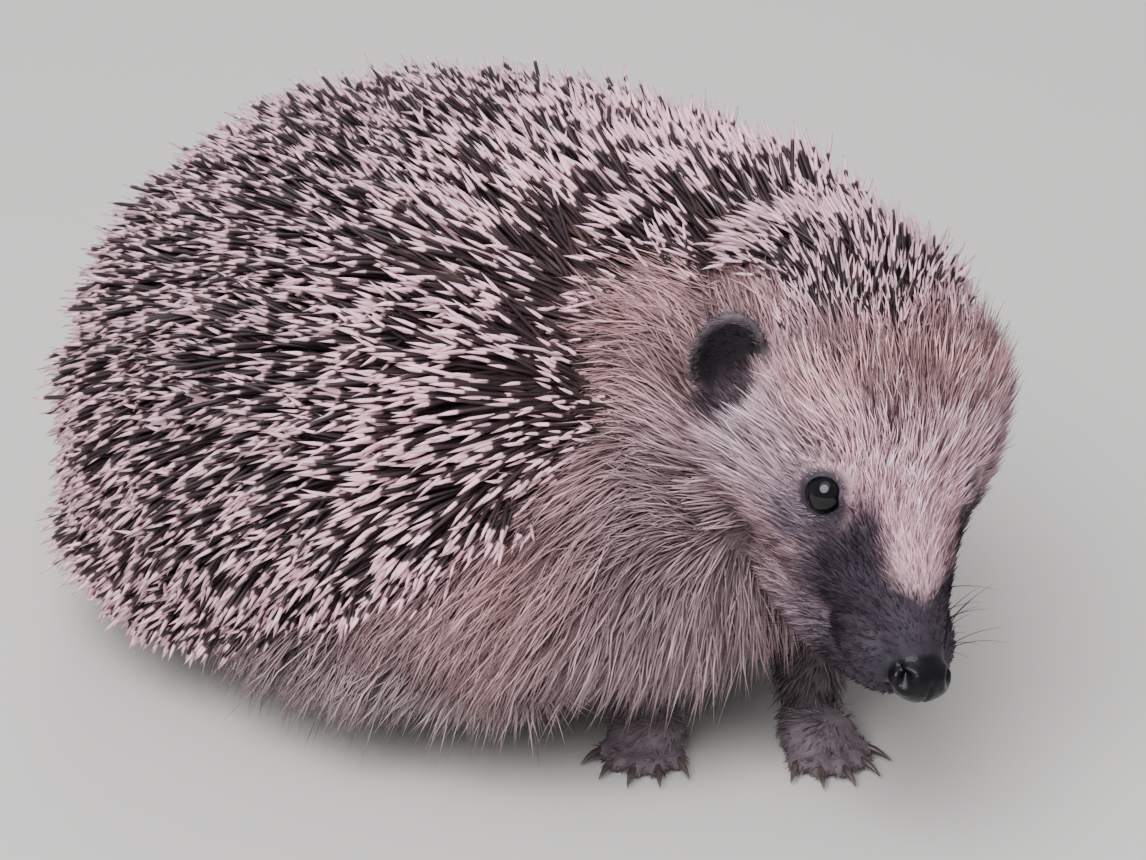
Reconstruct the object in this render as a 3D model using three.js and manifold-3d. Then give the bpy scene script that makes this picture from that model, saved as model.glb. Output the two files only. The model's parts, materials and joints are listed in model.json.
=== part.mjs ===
// An adult hedgehog at life size, walking with its head lowered and turned to its right.
// Millimetres. +X points forward, +Y to the animal's left, +Z up, and the soles stand on z = 0.
// Every outline is the outline of the coat: the spines and the fur are inside these solids.
import * as THREE from 'three';
import { mergeVertices } from 'three/addons/utils/BufferGeometryUtils.js';
import Module from 'manifold-3d';

const wasm = await Module();
wasm.setup();

// ---------- driving dimensions ----------

const gap = 0.3; // between two pieces that meet

const trunkLength = 167;
const trunkWidth = 133;
const trunkHeight = 128; // of the whole ovoid, before the skirt cuts it off
const trunkCentre = new THREE.Vector3(-3, 0, 33);

const skirtHeight = 7; // lowest hairs of the flank above the floor
const chestRise = 20; // how much higher the coat ends under the chest
const rumpRise = 4;

const mantleRearHeight = 13; // where spines give way to fur, at the rump
const mantleNapeRise = 67; // and how much higher that line is behind the ear
const mantleNapeX = 50;
const mantleFade = 19; // how quickly the line climbs towards the nape

const shoulderX = 68; // of the cut that parts neck from trunk, at the height of the trunk's middle
const shoulderLean = 32; // degrees that this cut leans back
const shoulderBlock = 240;

const eyesCentre = new THREE.Vector3(87.8, -18.8, 59.1);
const headYaw = -33.6; // degrees, to the right
const headPitch = 32; // nose down
const headRoll = -10.4;

const eyeSpot = new THREE.Vector3(-0.4, 11.3, -1); // of the left eye, from between the eyes
const eyeRadius = 3.1;
const eyeHollowDepth = 2.4;
const eyeHollowRadius = 9;
const noseCentre = new THREE.Vector3(26.4, 0, -10.6);
const noseRadii = new THREE.Vector3(3.5, 4.9, 3.2);
const earHeight = 21.5;
const earWidth = 13.5;
const earThickness = 1.8;
const earCup = 3.8;
// The right ear stands out, and the left one is laid back against the coat. Angles are in degrees.
const ears = [
  { side: 'left', place: [-27, 24, 1], lean: -8, turn: 62, tiltBack: 48 },
  { side: 'right', place: [-20.5, -22.6, 3], lean: 14, turn: -22, tiltBack: 0 },
];

const legRadius = 8.5;
const claws = 5;

// ---------- the tools for shaping ----------

// A value that runs smoothly through evenly spaced stations, from 0 to 1 along a form.
function alongForm(...stations) {
  const line = new THREE.SplineCurve(stations.map((value, i) => new THREE.Vector2(i, value)));
  return (along) => line.getPoint(along).y;
}

function smoothStep(from, to, value) {
  return THREE.MathUtils.smoothstep(value, from, to);
}

// A ball of radius 1 with one vertex at each corner, so that it stays closed when it is reshaped.
function unitBall(segments, rings) {
  const ball = new THREE.SphereGeometry(1, segments, rings);
  ball.deleteAttribute('normal');
  ball.deleteAttribute('uv');
  return mergeVertices(ball, 1e-4);
}

// A closed form drawn along a path, from its rear pole to its front pole. The half measures
// are those of an ovoid: they are drawn in to nothing at both poles. With grow, it is that
// much larger all round.
function ovoidAlong(path, { side, top, bottom = top }, { segments = 24, rings = 14, grow = 0 } = {}) {
  const ball = unitBall(segments, rings);
  const spots = ball.attributes.position;
  const up = new THREE.Vector3(0, 0, 1);
  for (let i = 0; i < spots.count; i++) {
    const unit = new THREE.Vector3().fromBufferAttribute(spots, i);
    const along = (1 + unit.y) / 2;
    const forward = path.getTangent(along);
    const left = new THREE.Vector3().crossVectors(up, forward).normalize();
    const lift = new THREE.Vector3().crossVectors(forward, left);
    const reach = (unit.x > 0 ? top : bottom)(along) + grow;
    const point = path.getPoint(along)
      .addScaledVector(lift, unit.x * reach)
      .addScaledVector(left, unit.z * (side(along) + grow))
      .addScaledVector(forward, unit.y * grow);
    spots.setXYZ(i, point.x, point.y, point.z);
  }
  return ball;
}

function curveThrough(...points) {
  return new THREE.CatmullRomCurve3(points.map((point) => new THREE.Vector3(...point)));
}

// Moves the vertices of a geometry one by one.
function reshape(geometry, move) {
  const spots = geometry.attributes.position;
  for (let i = 0; i < spots.count; i++) {
    const point = new THREE.Vector3().fromBufferAttribute(spots, i);
    move(point);
    spots.setXYZ(i, point.x, point.y, point.z);
  }
  return geometry;
}

function toSolid(geometry, matrix = new THREE.Matrix4()) {
  const placed = geometry.clone().applyMatrix4(matrix);
  return new wasm.Manifold(new wasm.Mesh({
    numProp: 3,
    vertProperties: Float32Array.from(placed.attributes.position.array),
    triVerts: Uint32Array.from(placed.index.array),
  }));
}

// The main body of a cut solid, without the crumbs that a shallow cut can leave.
function toGeometry(solid, matrix = new THREE.Matrix4()) {
  const [largest] = solid.decompose().sort((a, b) => b.volume() - a.volume());
  const mesh = largest.getMesh();
  const geometry = new THREE.BufferGeometry();
  geometry.setAttribute('position', new THREE.BufferAttribute(mesh.vertProperties.slice(), 3));
  geometry.setIndex(new THREE.BufferAttribute(mesh.triVerts.slice(), 1));
  geometry.applyMatrix4(matrix);
  geometry.computeVertexNormals();
  return geometry;
}

function cut(solid, ...tools) {
  return tools.reduce((left, tool) => left.subtract(tool), solid);
}

// ---------- materials ----------

function coat(color, roughness = 0.9) {
  return new THREE.MeshStandardMaterial({ color, roughness, metalness: 0 });
}

const spines = coat(0x6b5a4f);
const fur = coat(0x9c8270);
const faceFur = coat(0xa08672);
const legFur = coat(0x6a5a4e);
const bareSkin = coat(0x4a3f3a, 0.7);
const wetSkin = coat(0x141112, 0.25);
const eyeSurface = coat(0x060505, 0.05);
const horn = coat(0x2b2320, 0.45);

// ---------- the scene ----------

const hedgehog = new THREE.Group();

function addMesh(parent, name, geometry, material) {
  const mesh = new THREE.Mesh(geometry, material.clone());
  mesh.name = name;
  parent.add(mesh);
  return mesh;
}

function addGroup(parent, position, rotation = new THREE.Euler()) {
  const group = new THREE.Group();
  group.position.copy(position);
  group.rotation.copy(rotation);
  parent.add(group);
  hedgehog.updateMatrixWorld(true);
  return group;
}

const radians = THREE.MathUtils.degToRad;
const headTurn = new THREE.Euler(radians(headRoll), radians(headPitch), radians(headYaw), 'ZYX');
const headGroup = addGroup(hedgehog, eyesCentre, headTurn);

// ---------- the head, in its own frame: x to the nose, y left, z up, from between the eyes ----------

// From the nape over the crown and the brow, along the muzzle, to behind the nose.
const headPath = curveThrough(
  [-46, 0, -6], [-34, 0, -4], [-22, 0, -4], [-10, 0, -7], [2, 0, -10], [14, 0, -10.5], [26, 0, -10.5],
);
const headMeasures = {
  side: alongForm(24, 28, 26, 22.5, 17, 12.8, 11.2),
  top: alongForm(28, 33, 31, 27, 19, 14.5, 8.8),
  bottom: alongForm(22, 27, 28.5, 24.5, 19.2, 13.4, 9.4),
};

// The coat is shortest round the eyes, so the outline is drawn in there.
function headForm(grow = 0) {
  const form = ovoidAlong(headPath, headMeasures, { segments: 26, rings: 18, grow });
  return reshape(form, (point) => {
    const away = Math.hypot(point.x - eyeSpot.x, point.z - eyeSpot.z) / eyeHollowRadius;
    point.y -= Math.sign(point.y) * eyeHollowDepth * Math.max(0, 1 - away ** 2);
  });
}

function eyeForm(sideSign, grow = 0) {
  const radius = eyeRadius + grow;
  return unitBall(12, 8).scale(radius, radius, radius).translate(eyeSpot.x, sideSign * eyeSpot.y, eyeSpot.z);
}

function noseForm(grow = 0) {
  const { x, y, z } = noseRadii;
  return unitBall(12, 8).scale(x + grow, y + grow, z + grow).translate(...noseCentre);
}

// A round ear, cupped towards the front: a thin ovoid whose middle is pushed back.
function earForm({ place, lean, turn, tiltBack }, grow = 0) {
  const half = new THREE.Vector3(earThickness, earWidth, earHeight).multiplyScalar(0.5);
  const ear = unitBall(14, 8).rotateY(Math.PI / 2);
  ear.scale(half.x + grow, half.y + grow, half.z + grow);
  reshape(ear, (point) => {
    const fromRim = 1 - (point.y / half.y) ** 2 * 0.6 - (point.z / half.z) ** 2 * 0.4;
    point.x -= earCup * fromRim;
  });
  ear.rotateX(radians(lean)).rotateZ(radians(turn)).rotateY(radians(-tiltBack));
  return ear.translate(...place);
}

const sides = [['left', 1], ['right', -1]];

function headSolid() {
  const eyeTools = sides.map(([, sign]) => eyeForm(sign, gap));
  const earTools = ears.map((ear) => earForm(ear, gap));
  const tools = [noseForm(gap), ...eyeTools, ...earTools].map((tool) => toSolid(tool));
  return cut(toSolid(headForm()), ...tools);
}

addMesh(headGroup, 'head', toGeometry(headSolid()), faceFur);
addMesh(headGroup, 'nose', noseForm(), wetSkin);
for (const [name, sign] of sides) addMesh(headGroup, `eye_${name}`, eyeForm(sign), eyeSurface);
for (const ear of ears) addMesh(headGroup, `ear_${ear.side}`, earForm(ear), bareSkin);

// The head and both ears, seen by the pieces they are joined to.
const headKeepOut = [headForm(gap), ...ears.map((ear) => earForm(ear, gap))]
  .map((geometry) => toSolid(geometry, headGroup.matrixWorld));

// ---------- neck, between the shoulders and the back of the head ----------

const neckPath = curveThrough([22, 3, 50], [42, 2, 53], [58, -3, 55], [76, -12, 54]);
const neckMeasures = {
  side: alongForm(34, 47, 41, 30),
  top: alongForm(30, 44, 36, 24),
  bottom: alongForm(24, 34, 32, 24),
};

function neckForm() {
  return ovoidAlong(neckPath, neckMeasures, { segments: 20, rings: 10 });
}

// ---------- legs and paws ----------

// Each paw stands on its own flat sole, turned to its heading. Every leg runs from the
// shoulder or hip, inside the trunk, down to the wrist or ankle.
const pawSizes = { fore: { length: 17, width: 13.5, fan: 62 }, hind: { length: 26, width: 12.5, fan: 44 } };
const limbs = [
  { name: 'fore', side: 'right', foot: [44, -22], heading: -66, joint: [38, -26, 33] },
  { name: 'fore', side: 'left', foot: [66, -5], heading: -28, joint: [50, 13, 33] },
  { name: 'hind', side: 'right', foot: [-40, -34], heading: -12, joint: [-46, -34, 30] },
  { name: 'hind', side: 'left', foot: [-56, 33], heading: 10, joint: [-50, 33, 30] },
].map((limb) => ({ ...limb, ...pawSizes[limb.name] }));

const toeRadius = 2;
const clawLength = 5.9;
const clawRadius = 0.75;

// The pad of the foot, its top higher at the wrist, with five short toes fanned round its front.
function toeDirections(limb) {
  return Array.from({ length: claws }, (_, i) => radians(limb.fan * ((2 * i) / (claws - 1) - 1)));
}

function toeSpot(limb, direction) {
  const reach = new THREE.Vector2(limb.length / 2 - 1.2, limb.width / 2 - 1.4);
  const forward = reach.x * Math.cos(direction);
  return new THREE.Vector3(forward, reach.y * Math.sin(direction) * 1.15, toeRadius - 0.5);
}

function ontoFloor(geometry) {
  return reshape(geometry, (point) => {
    point.z = Math.max(point.z, 0);
  });
}

function pawSolid(limb, grow = 0) {
  const half = limb.length / 2;
  const path = curveThrough([-half, 0, 4.2], [0, 0, 3.6], [half - 2.4, 0, 2.2]);
  const measures = {
    side: alongForm(limb.width / 2 - 1, limb.width / 2, limb.width / 2 - 0.5),
    top: alongForm(6, 4.6, 2.6),
    bottom: alongForm(5.4, 4.6, 3),
  };
  let solid = toSolid(ontoFloor(ovoidAlong(path, measures, { segments: 10, rings: 6, grow })));
  for (const direction of toeDirections(limb)) {
    const spot = toeSpot(limb, direction);
    const radius = toeRadius + grow;
    const toe = unitBall(6, 4).scale(radius * 1.35, radius, radius).rotateZ(direction * 0.5);
    solid = solid.add(toSolid(ontoFloor(toe.translate(spot.x, spot.y, spot.z))));
  }
  return solid;
}

// A claw grows from the toe, curves down and ends just clear of the floor.
function clawForm(limb, direction, grow = 0) {
  const root = toeSpot(limb, direction);
  const path = new THREE.QuadraticBezierCurve3(
    new THREE.Vector3(0, 0, 0.5),
    new THREE.Vector3(clawLength * 0.55, 0, 0.9),
    new THREE.Vector3(clawLength, 0, -0.7),
  );
  const thickness = alongForm(clawRadius, clawRadius, 0.5);
  const claw = ovoidAlong(path, { side: thickness, top: thickness }, { segments: 5, rings: 4, grow });
  return claw.rotateZ(direction * 0.6).translate(root.x, root.y, root.z);
}

const legKeepOut = [];

function addLimb(limb) {
  const title = `${limb.name}paw_${limb.side}`;
  const turn = new THREE.Euler(0, 0, radians(limb.heading));
  const pawGroup = addGroup(hedgehog, new THREE.Vector3(...limb.foot, 0), turn);
  const clawTools = toeDirections(limb).map((direction) => toSolid(clawForm(limb, direction, gap)));
  addMesh(pawGroup, title, toGeometry(cut(pawSolid(limb), ...clawTools)), bareSkin);
  toeDirections(limb).forEach((direction, i) => {
    addMesh(pawGroup, `${title}_claw_${i + 1}`, clawForm(limb, direction), horn);
  });

  const [x, y, z] = limb.joint;
  const heel = new THREE.Vector3(-limb.length * 0.22, 0, 5).applyMatrix4(pawGroup.matrixWorld);
  const elbow = [(x + heel.x) / 2, (y + heel.y) / 2, (z + heel.z) / 2 + 1];
  const path = curveThrough([x, y, z], elbow, heel.toArray());
  const thickness = alongForm(legRadius + 1.5, legRadius, legRadius - 1);
  const measures = { side: thickness, top: thickness };
  const form = (grow) => ovoidAlong(path, measures, { segments: 12, rings: 6, grow });
  const pawTool = toSolid(toGeometry(pawSolid(limb, gap)), pawGroup.matrixWorld);
  const leg = toSolid(reshape(form(0), (point) => { point.z = Math.max(point.z, 1.5); }));
  addMesh(hedgehog, `${limb.name}leg_${limb.side}`, toGeometry(cut(leg, pawTool, ...headKeepOut)), legFur);
  legKeepOut.push(toSolid(form(gap)), pawTool);
}

limbs.forEach(addLimb);

// ---------- tail ----------

const tailPath = curveThrough([-76, 0, 27], [-84, 0, 23], [-92, 0, 16]);

function tailForm(grow = 0) {
  const thickness = alongForm(5, 4.2, 2.6);
  return ovoidAlong(tailPath, { side: thickness, top: thickness }, { segments: 10, rings: 7, grow });
}

addMesh(hedgehog, 'tail', tailForm(), bareSkin);

// ---------- trunk: the spiny mantle over the back, and the furred flanks and belly under it ----------

// Where the lowest hairs of the coat end, at a place along the body.
function skirtAt(x) {
  return skirtHeight + chestRise * smoothStep(20, 78, x) + rumpRise * smoothStep(55, 86, -x);
}

function trunkForm() {
  const half = trunkLength / 2;
  const { x, y, z } = trunkCentre;
  const path = new THREE.LineCurve3(new THREE.Vector3(x - half, y, z), new THREE.Vector3(x + half, y, z));
  const side = () => trunkWidth / 2;
  const bottom = () => trunkHeight / 2;
  const fuller = alongForm(1, 1, 1, 1.08, 1.12); // the back stays high over the shoulders
  const top = (along) => (fuller(along) * trunkHeight) / 2;
  const ovoid = ovoidAlong(path, { side, top, bottom }, { segments: 32, rings: 18 });
  return reshape(ovoid, (point) => {
    point.z = Math.max(point.z, skirtAt(point.x));
  });
}

// The height of the line where spines give way to fur: low at the rump, and steep behind the ear.
function mantleEdgeAt(x) {
  const fromNape = Math.min(x - mantleNapeX, 12);
  return mantleRearHeight + mantleNapeRise * Math.exp(fromNape / mantleFade);
}

// Everything below that line, lowered by the gap where it is the fur's own boundary.
function belowMantle(lowered = 0) {
  const block = new THREE.BoxGeometry(200, 160, 40, 16, 1, 1);
  block.deleteAttribute('normal');
  block.deleteAttribute('uv');
  return reshape(mergeVertices(block, 1e-4), (point) => {
    point.z = point.z > 0 ? mantleEdgeAt(point.x) - lowered : -10;
  });
}

// Everything in front of the shoulders: a block whose rear face is the plane of the thin cut
// that parts the neck from the trunk, leaning back over the shoulders.
function aheadOfShoulders(grow = 0) {
  const block = new THREE.BoxGeometry(shoulderBlock, shoulderBlock, shoulderBlock);
  block.deleteAttribute('normal');
  block.deleteAttribute('uv');
  return mergeVertices(block, 1e-4)
    .translate(shoulderBlock / 2 - grow, 0, 0)
    .rotateY(radians(-shoulderLean))
    .translate(shoulderX, 0, trunkCentre.z);
}

const wholeBody = cut(toSolid(trunkForm()).add(toSolid(neckForm())), ...headKeepOut, ...legKeepOut);
const neck = wholeBody.intersect(toSolid(aheadOfShoulders()));
const trunk = cut(wholeBody, toSolid(aheadOfShoulders(gap)), toSolid(tailForm(gap)));
const spinyBack = cut(trunk, toSolid(belowMantle()));
const flanks = trunk.intersect(toSolid(belowMantle(gap)));
addMesh(hedgehog, 'neck', toGeometry(neck), fur);
addMesh(hedgehog, 'spiny_back', toGeometry(spinyBack), spines);
addMesh(hedgehog, 'flanks_and_belly', toGeometry(flanks), fur);

// The origin is the middle of the footprint, on the floor.
const extent = new THREE.Box3().setFromObject(hedgehog, true);
const footprint = extent.getCenter(new THREE.Vector3());
hedgehog.position.set(-footprint.x, -footprint.y, -extent.min.z);

export default hedgehog;
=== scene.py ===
# %% [markdown]
# # A hedgehog, as a museum shows it
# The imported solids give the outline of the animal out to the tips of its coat. This lesson puts
# one soft skin inside that outline, then grows the coat on it: thousands of hard spines over the
# back, and long coarse hair on the flanks, the neck, the face and the legs. Eyes and claws are
# hard pieces of their own. Every length below is in millimetres until a mesh is made.

# %% Load the frame
import json
import math
import bpy
import bmesh
import numpy as np
from mathutils import Matrix, Vector
from mathutils.kdtree import KDTree


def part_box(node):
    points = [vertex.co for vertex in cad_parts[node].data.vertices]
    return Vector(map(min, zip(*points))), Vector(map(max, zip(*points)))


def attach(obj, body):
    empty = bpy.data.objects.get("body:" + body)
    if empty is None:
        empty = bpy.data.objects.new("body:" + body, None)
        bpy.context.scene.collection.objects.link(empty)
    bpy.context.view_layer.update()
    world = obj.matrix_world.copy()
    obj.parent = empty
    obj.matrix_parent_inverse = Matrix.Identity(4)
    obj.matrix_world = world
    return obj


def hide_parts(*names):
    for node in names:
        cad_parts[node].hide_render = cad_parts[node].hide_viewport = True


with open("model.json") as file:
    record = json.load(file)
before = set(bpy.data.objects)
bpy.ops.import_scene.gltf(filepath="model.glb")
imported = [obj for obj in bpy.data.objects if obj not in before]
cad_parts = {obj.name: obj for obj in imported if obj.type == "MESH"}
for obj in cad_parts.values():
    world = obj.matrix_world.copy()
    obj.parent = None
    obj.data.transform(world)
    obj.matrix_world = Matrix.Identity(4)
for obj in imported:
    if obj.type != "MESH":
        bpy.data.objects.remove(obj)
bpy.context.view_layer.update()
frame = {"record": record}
mm = 0.001

# %% [markdown]
# ## Small tools
# A lofted form needs values that run smoothly through a few stations, so the first helper is a
# Catmull-Rom curve, the same one that the solids were drawn with. The others are the soft steps
# and falls that blend one region of the coat into the next.

# %% Small tools


def through(stations, along):
    """Values at places from 0 to 1 on a smooth curve through evenly spaced stations."""
    stations = np.asarray(stations, float)
    last = len(stations) - 1
    place = np.clip(np.asarray(along, float) * last, 0, last)
    i = np.minimum(place.astype(int), last - 1)
    t = place - i
    if stations.ndim > 1:
        t = t[..., None]
    before, here = stations[np.maximum(i - 1, 0)], stations[i]
    there, after = stations[i + 1], stations[np.minimum(i + 2, last)]
    rise = (there - before) * t
    bend = (2 * before - 5 * here + 4 * there - after) * t**2
    twist = (3 * here - before - 3 * there + after) * t**3
    return here + 0.5 * (rise + bend + twist)


def soft_step(low, high, value):
    t = np.clip((np.asarray(value, float) - low) / (high - low), 0, 1)
    return t * t * (3 - 2 * t)


def bell(value, width):
    """1 at zero, falling to nothing about two widths away."""
    return np.exp(-((np.asarray(value, float) / width) ** 2))


def mix(a, b, share):
    """From a, where share is 0, to b, where it is 1. Colours and directions keep their three parts."""
    share = np.asarray(share, float)
    rows = np.shape(a)[-1:] == (3,) or np.shape(b)[-1:] == (3,)
    if rows and np.shape(share)[-1:] != (3,) and share.ndim:
        share = share[..., None]
    return np.asarray(a) * (1 - share) + np.asarray(b) * share


def unit(vectors):
    return vectors / np.maximum(np.linalg.norm(vectors, axis=-1, keepdims=True), 1e-9)


def node_box(node):
    low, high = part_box(node)
    return np.array(low) / mm, np.array(high) / mm


def node_centre(node):
    return sum(node_box(node)) / 2


# %% [markdown]
# ## Where the body is
# The trunk is an ovoid laid along X. Its rear and width are read from the solids, and its height is given.
# The head has a frame of its own, found from the middles of the two eyes and of the nose: forward runs
# down the face, left runs from eye to eye, and up leaves the forehead.

# %% Where the body is
back_low, back_high = node_box("spiny_back")
trunk_half = np.array([83.5, back_high[1], 64.0])
trunk_middle = np.array([back_low[0] + trunk_half[0], 0.0, 33.0])

eye_place = np.array([-0.4, 11.3, -1.0])
nose_place = np.array([26.4, 0.0, -10.6])
left_eye, right_eye, nose = (node_centre(n) for n in ("eye_left", "eye_right", "nose"))
head_left = unit(left_eye - right_eye)
between_eyes = (left_eye + right_eye) / 2
to_nose = unit(nose - between_eyes)
above_nose = np.cross(to_nose, head_left)
drop = math.atan2(eye_place[2] - nose_place[2], nose_place[0] - eye_place[0])
head_forward = math.cos(drop) * to_nose + math.sin(drop) * above_nose
head_up = np.cross(head_forward, head_left)
head_axes = np.stack([head_forward, head_left, head_up])
head_origin = between_eyes - eye_place[0] * head_forward - eye_place[2] * head_up


def from_head(points):
    """From the head's own frame, which is forward, left and up in millimetres, to the world."""
    return head_origin + np.asarray(points, float) @ head_axes


def to_head(points):
    """Into the head's own frame. The regions of the face below are given in it, as f, l and u."""
    return (np.asarray(points, float) - head_origin) @ head_axes.T


print("the head faces", head_forward.round(2), "and the nose is", round(float(nose[2])), "mm up")

# %% [markdown]
# ## The skin, as overlapping forms
# A mammal's body is a few rounded masses that run into each other. It could be sculpted from one
# block, but it is easier to check when each mass is a sphere drawn out along a path, with half
# measures that change along it. They overlap freely here, and a voxel remesh then melts them into
# one closed skin. Each lies inside its solid by the depth of the coat: about 11 mm under spines,
# 6 mm under long hair, and 1 mm or less on the muzzle and feet.

# %% A form drawn out along a path
sides = {"left": 1, "right": -1}
body = bmesh.new()


def add_form(place, segments=48):
    """A unit sphere whose vertices are moved by place(left, up, forward)."""
    made = bmesh.ops.create_uvsphere(body, u_segments=segments, v_segments=segments // 2, radius=1)
    verts = made["verts"]
    balls = np.array([v.co for v in verts])
    for vert, spot in zip(verts, place(balls[:, 0], balls[:, 1], balls[:, 2])):
        vert.co = Vector(spot * mm)
    return verts


def ovoid(path, side, top, bottom=None, up=(0, 0, 1)):
    """Draws a sphere out along a path, as the solids are drawn."""
    path = np.asarray(path, float)
    bottom = top if bottom is None else bottom

    def place(left, lift, forward):
        along = (1 + forward) / 2
        step = 1e-3
        ahead = through(path, np.minimum(along + step, 1)) - through(path, np.maximum(along - step, 0))
        ahead = unit(ahead)
        to_left = unit(np.cross(np.broadcast_to(up, ahead.shape), ahead))
        to_top = np.cross(ahead, to_left)
        reach = np.where(lift > 0, through(top, along), through(bottom, along))
        spread = left * through(side, along)
        return through(path, along) + to_top * (lift * reach)[:, None] + to_left * spread[:, None]

    return place


# %% Trunk and neck
# The trunk keeps high over the shoulders and flat under the belly.
trunk_skin = trunk_half - [16.0, 9.0, 11.5]
trunk_ends = [trunk_middle - [trunk_skin[0], 0, 1], trunk_middle, trunk_middle + [trunk_skin[0], 0, 0]]
trunk_top = trunk_skin[2] * np.array([1.0, 1.0, 1.0, 1.08, 1.12])
add_form(ovoid(trunk_ends, [trunk_skin[1]] * 2, trunk_top, [13, 15, 16, 17, 16]), 64)

# A roll of muscle runs round the edge of the mantle, low on both flanks and across the rump.
# Seen from above, it is squarer than an ellipse.
roll_stations = 9
roll_squareness = 0.76
roll_half = [trunk_skin[0] - 11.5, trunk_skin[1] - 7, 1]
roll_drop = 14
round_rear = np.radians(np.linspace(48, 312, roll_stations))
roll_path = np.stack([np.cos(round_rear), np.sin(round_rear), np.zeros(roll_stations)], -1)
roll_path = np.sign(roll_path) * np.abs(roll_path) ** roll_squareness * roll_half
add_form(ovoid(trunk_middle + roll_path - [0, 0, roll_drop], [9.5] * 2, [16] * 2, [5.5] * 2), 96)

neck_path = trunk_middle + np.array([[25, 3, 17], [45, 2, 20], [61, -3, 22], [79, -12, 21]])
add_form(ovoid(neck_path, [28, 37, 33, 24], [23, 33.5, 29, 21], [20, 27, 25, 18]))
print("trunk and neck:", len(body.verts), "vertices")

# %% Skull, jaw and nose


def in_head(place):
    """Carries a form that is drawn in the head's frame to where the head is."""
    return lambda *ball: from_head(place(*ball))


def bulge(middle, half):
    """A ball given by its middle and its half measures forward, left and up."""
    return lambda left, lift, forward: np.stack([forward, left, lift], -1) * half + middle


# Skull and muzzle, from the nape over the crown to behind the nose.
head_path = [[-46, 0, -6], [-34, 0, -4], [-22, 1, -4], [-10, 1, -6.5],
             [2, 0, -9], [14, 0, -9.4], [27.5, 0, -10.2]]
skull = ovoid(
    head_path,
    side=[17, 22.0, 24.1, 20.2, 14.6, 10.6, 8.4],
    top=[17, 22, 21.5, 19.5, 15.2, 11.2, 7.6],
    bottom=[18, 22, 23, 20, 14.5, 8.8, 7.4],
)
add_form(in_head(skull), 64)

# The lower jaw sits under the muzzle and ends short of the nose.
jaw_path = [[-16, 0, -20], [-4, 0, -22], [9, 0, -20.6], [24.0, 0, -17.2]]
jaw = ovoid(jaw_path, side=[9, 12, 11.2, 9.0], top=[6, 6, 5, 3.6], bottom=[5, 6, 5.8, 5.4])
add_form(in_head(jaw))

# The pad of the nose: rounded, wider than it is high, and split by a groove later.
nose_radii = np.array([3.6, 5.0, 3.8])


def nose_pad(left, lift, forward):
    wide = nose_radii[1] * (1 + 0.1 * lift)
    local = np.stack([forward * nose_radii[0], left * wide, lift * nose_radii[2]], axis=-1)
    return local + nose_place


add_form(in_head(nose_pad))
for sign in sides.values():
    # The brow over the eye, and a swelling beside the nostril where the whiskers grow.
    add_form(in_head(bulge(middle=[-0.5, sign * 8.6, 1.8], half=[5.5, 2.6, 1.8])), 32)
    add_form(in_head(bulge(middle=[17.0, sign * 4.0, -12.8], half=[8.0, 5.2, 4.6])))
print("with the head:", len(body.verts), "vertices")

# %% [markdown]
# An ear is a thin round leaf of skin, cupped towards the front. Its outline and its cup are those
# of the solid. The leaf keeps its thickness almost to the rim, or the remesh would eat the edge.

# %% Ears
ear_half = np.array([0.75, 5.8, 10.4])
ear_cup = 3.8
# The right ear stands out, and the left one is laid back into the coat.
# side: (place in the head's frame, then degrees of lean outwards, turn to the side and tilt back)
ears = {"left": ((-27.0, 21.5, 1.0), -8, 62, 48), "right": ((-20.5, -22.6, 3.0), 14, -22, 0)}


def ear_axes(side):
    """Rows: out of the ear's front, along its width, and up its height, in the head's frame."""
    lean, turn, tilt = (math.radians(a) for a in ears[side][1:])
    turns = Matrix.Rotation(turn, 3, "Z") @ Matrix.Rotation(lean, 3, "X")
    return np.array(Matrix.Rotation(-tilt, 3, "Y") @ turns).T


def cup_at(across, along):
    """How far the leaf bows back, at a share of its half width and half height from the middle."""
    return ear_cup * (1 - 0.6 * across**2 - 0.4 * along**2)


def ear_leaf(side):
    def place(left, lift, forward):
        from_middle = np.hypot(left, forward)
        rolled_rim = 1 + 0.5 * bell(from_middle - 0.86, 0.12)
        thick = np.sign(lift) * np.sqrt(np.clip(1 - from_middle**5, 0, 1)) * rolled_rim
        y, z = left * ear_half[1], forward * ear_half[2]
        local = np.stack([thick * ear_half[0] - cup_at(left, forward), y, z], axis=-1)
        return local @ ear_axes(side) + ears[side][0]

    return place


for side in sides:
    add_form(in_head(ear_leaf(side)))
print("with the ears:", len(body.verts), "vertices")

# %% [markdown]
# The legs are short. Each foot is a pad with five toes fanned round its front, on the very spots
# where the solids stand, which the record keeps as the mounts of the four soles.

# %% Places and turns of the feet
soles = {m["name"][5:]: np.array(m["pos_m"]) / mm for m in frame["record"]["mounts"]}
# name: (heading in degrees, length, width, top of the leg from the foot)
limbs = {
    "forepaw_right": (-66, 17, 13.5, (-6, -4, 33)),
    "forepaw_left": (-28, 17, 13.5, (-16, 18, 33)),
    "hindpaw_right": (-12, 26, 12.5, (-6, 0, 30)),
    "hindpaw_left": (10, 26, 12.5, (6, 0, 30)),
}
toes = 5
toe_half = [2.9, 1.7, 1.75]


def limb_turn(heading):
    c, s = math.cos(math.radians(heading)), math.sin(math.radians(heading))
    return np.array([[c, s, 0], [-s, c, 0], [0, 0, 1]])


def toe_directions(name):
    fan = math.radians(62 if name.startswith("fore") else 44)
    return np.linspace(-fan, fan, toes)


def toe_spot(name, direction):
    _, length, width, _ = limbs[name]
    reach, spread = length / 2 - 1.2, width / 2 - 1.4
    return np.array([reach * math.cos(direction), spread * math.sin(direction) * 1.15, 1.5])


print("the soles stand at", {name: spot[:2].round(1).tolist() for name, spot in soles.items()})

# %% Legs, feet and tail


def on_floor(place):
    """The sole is flat: nothing goes below the floor."""
    def level(*ball):
        spots = place(*ball)
        spots[:, 2] = np.maximum(spots[:, 2], 0)
        return spots

    return level


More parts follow.
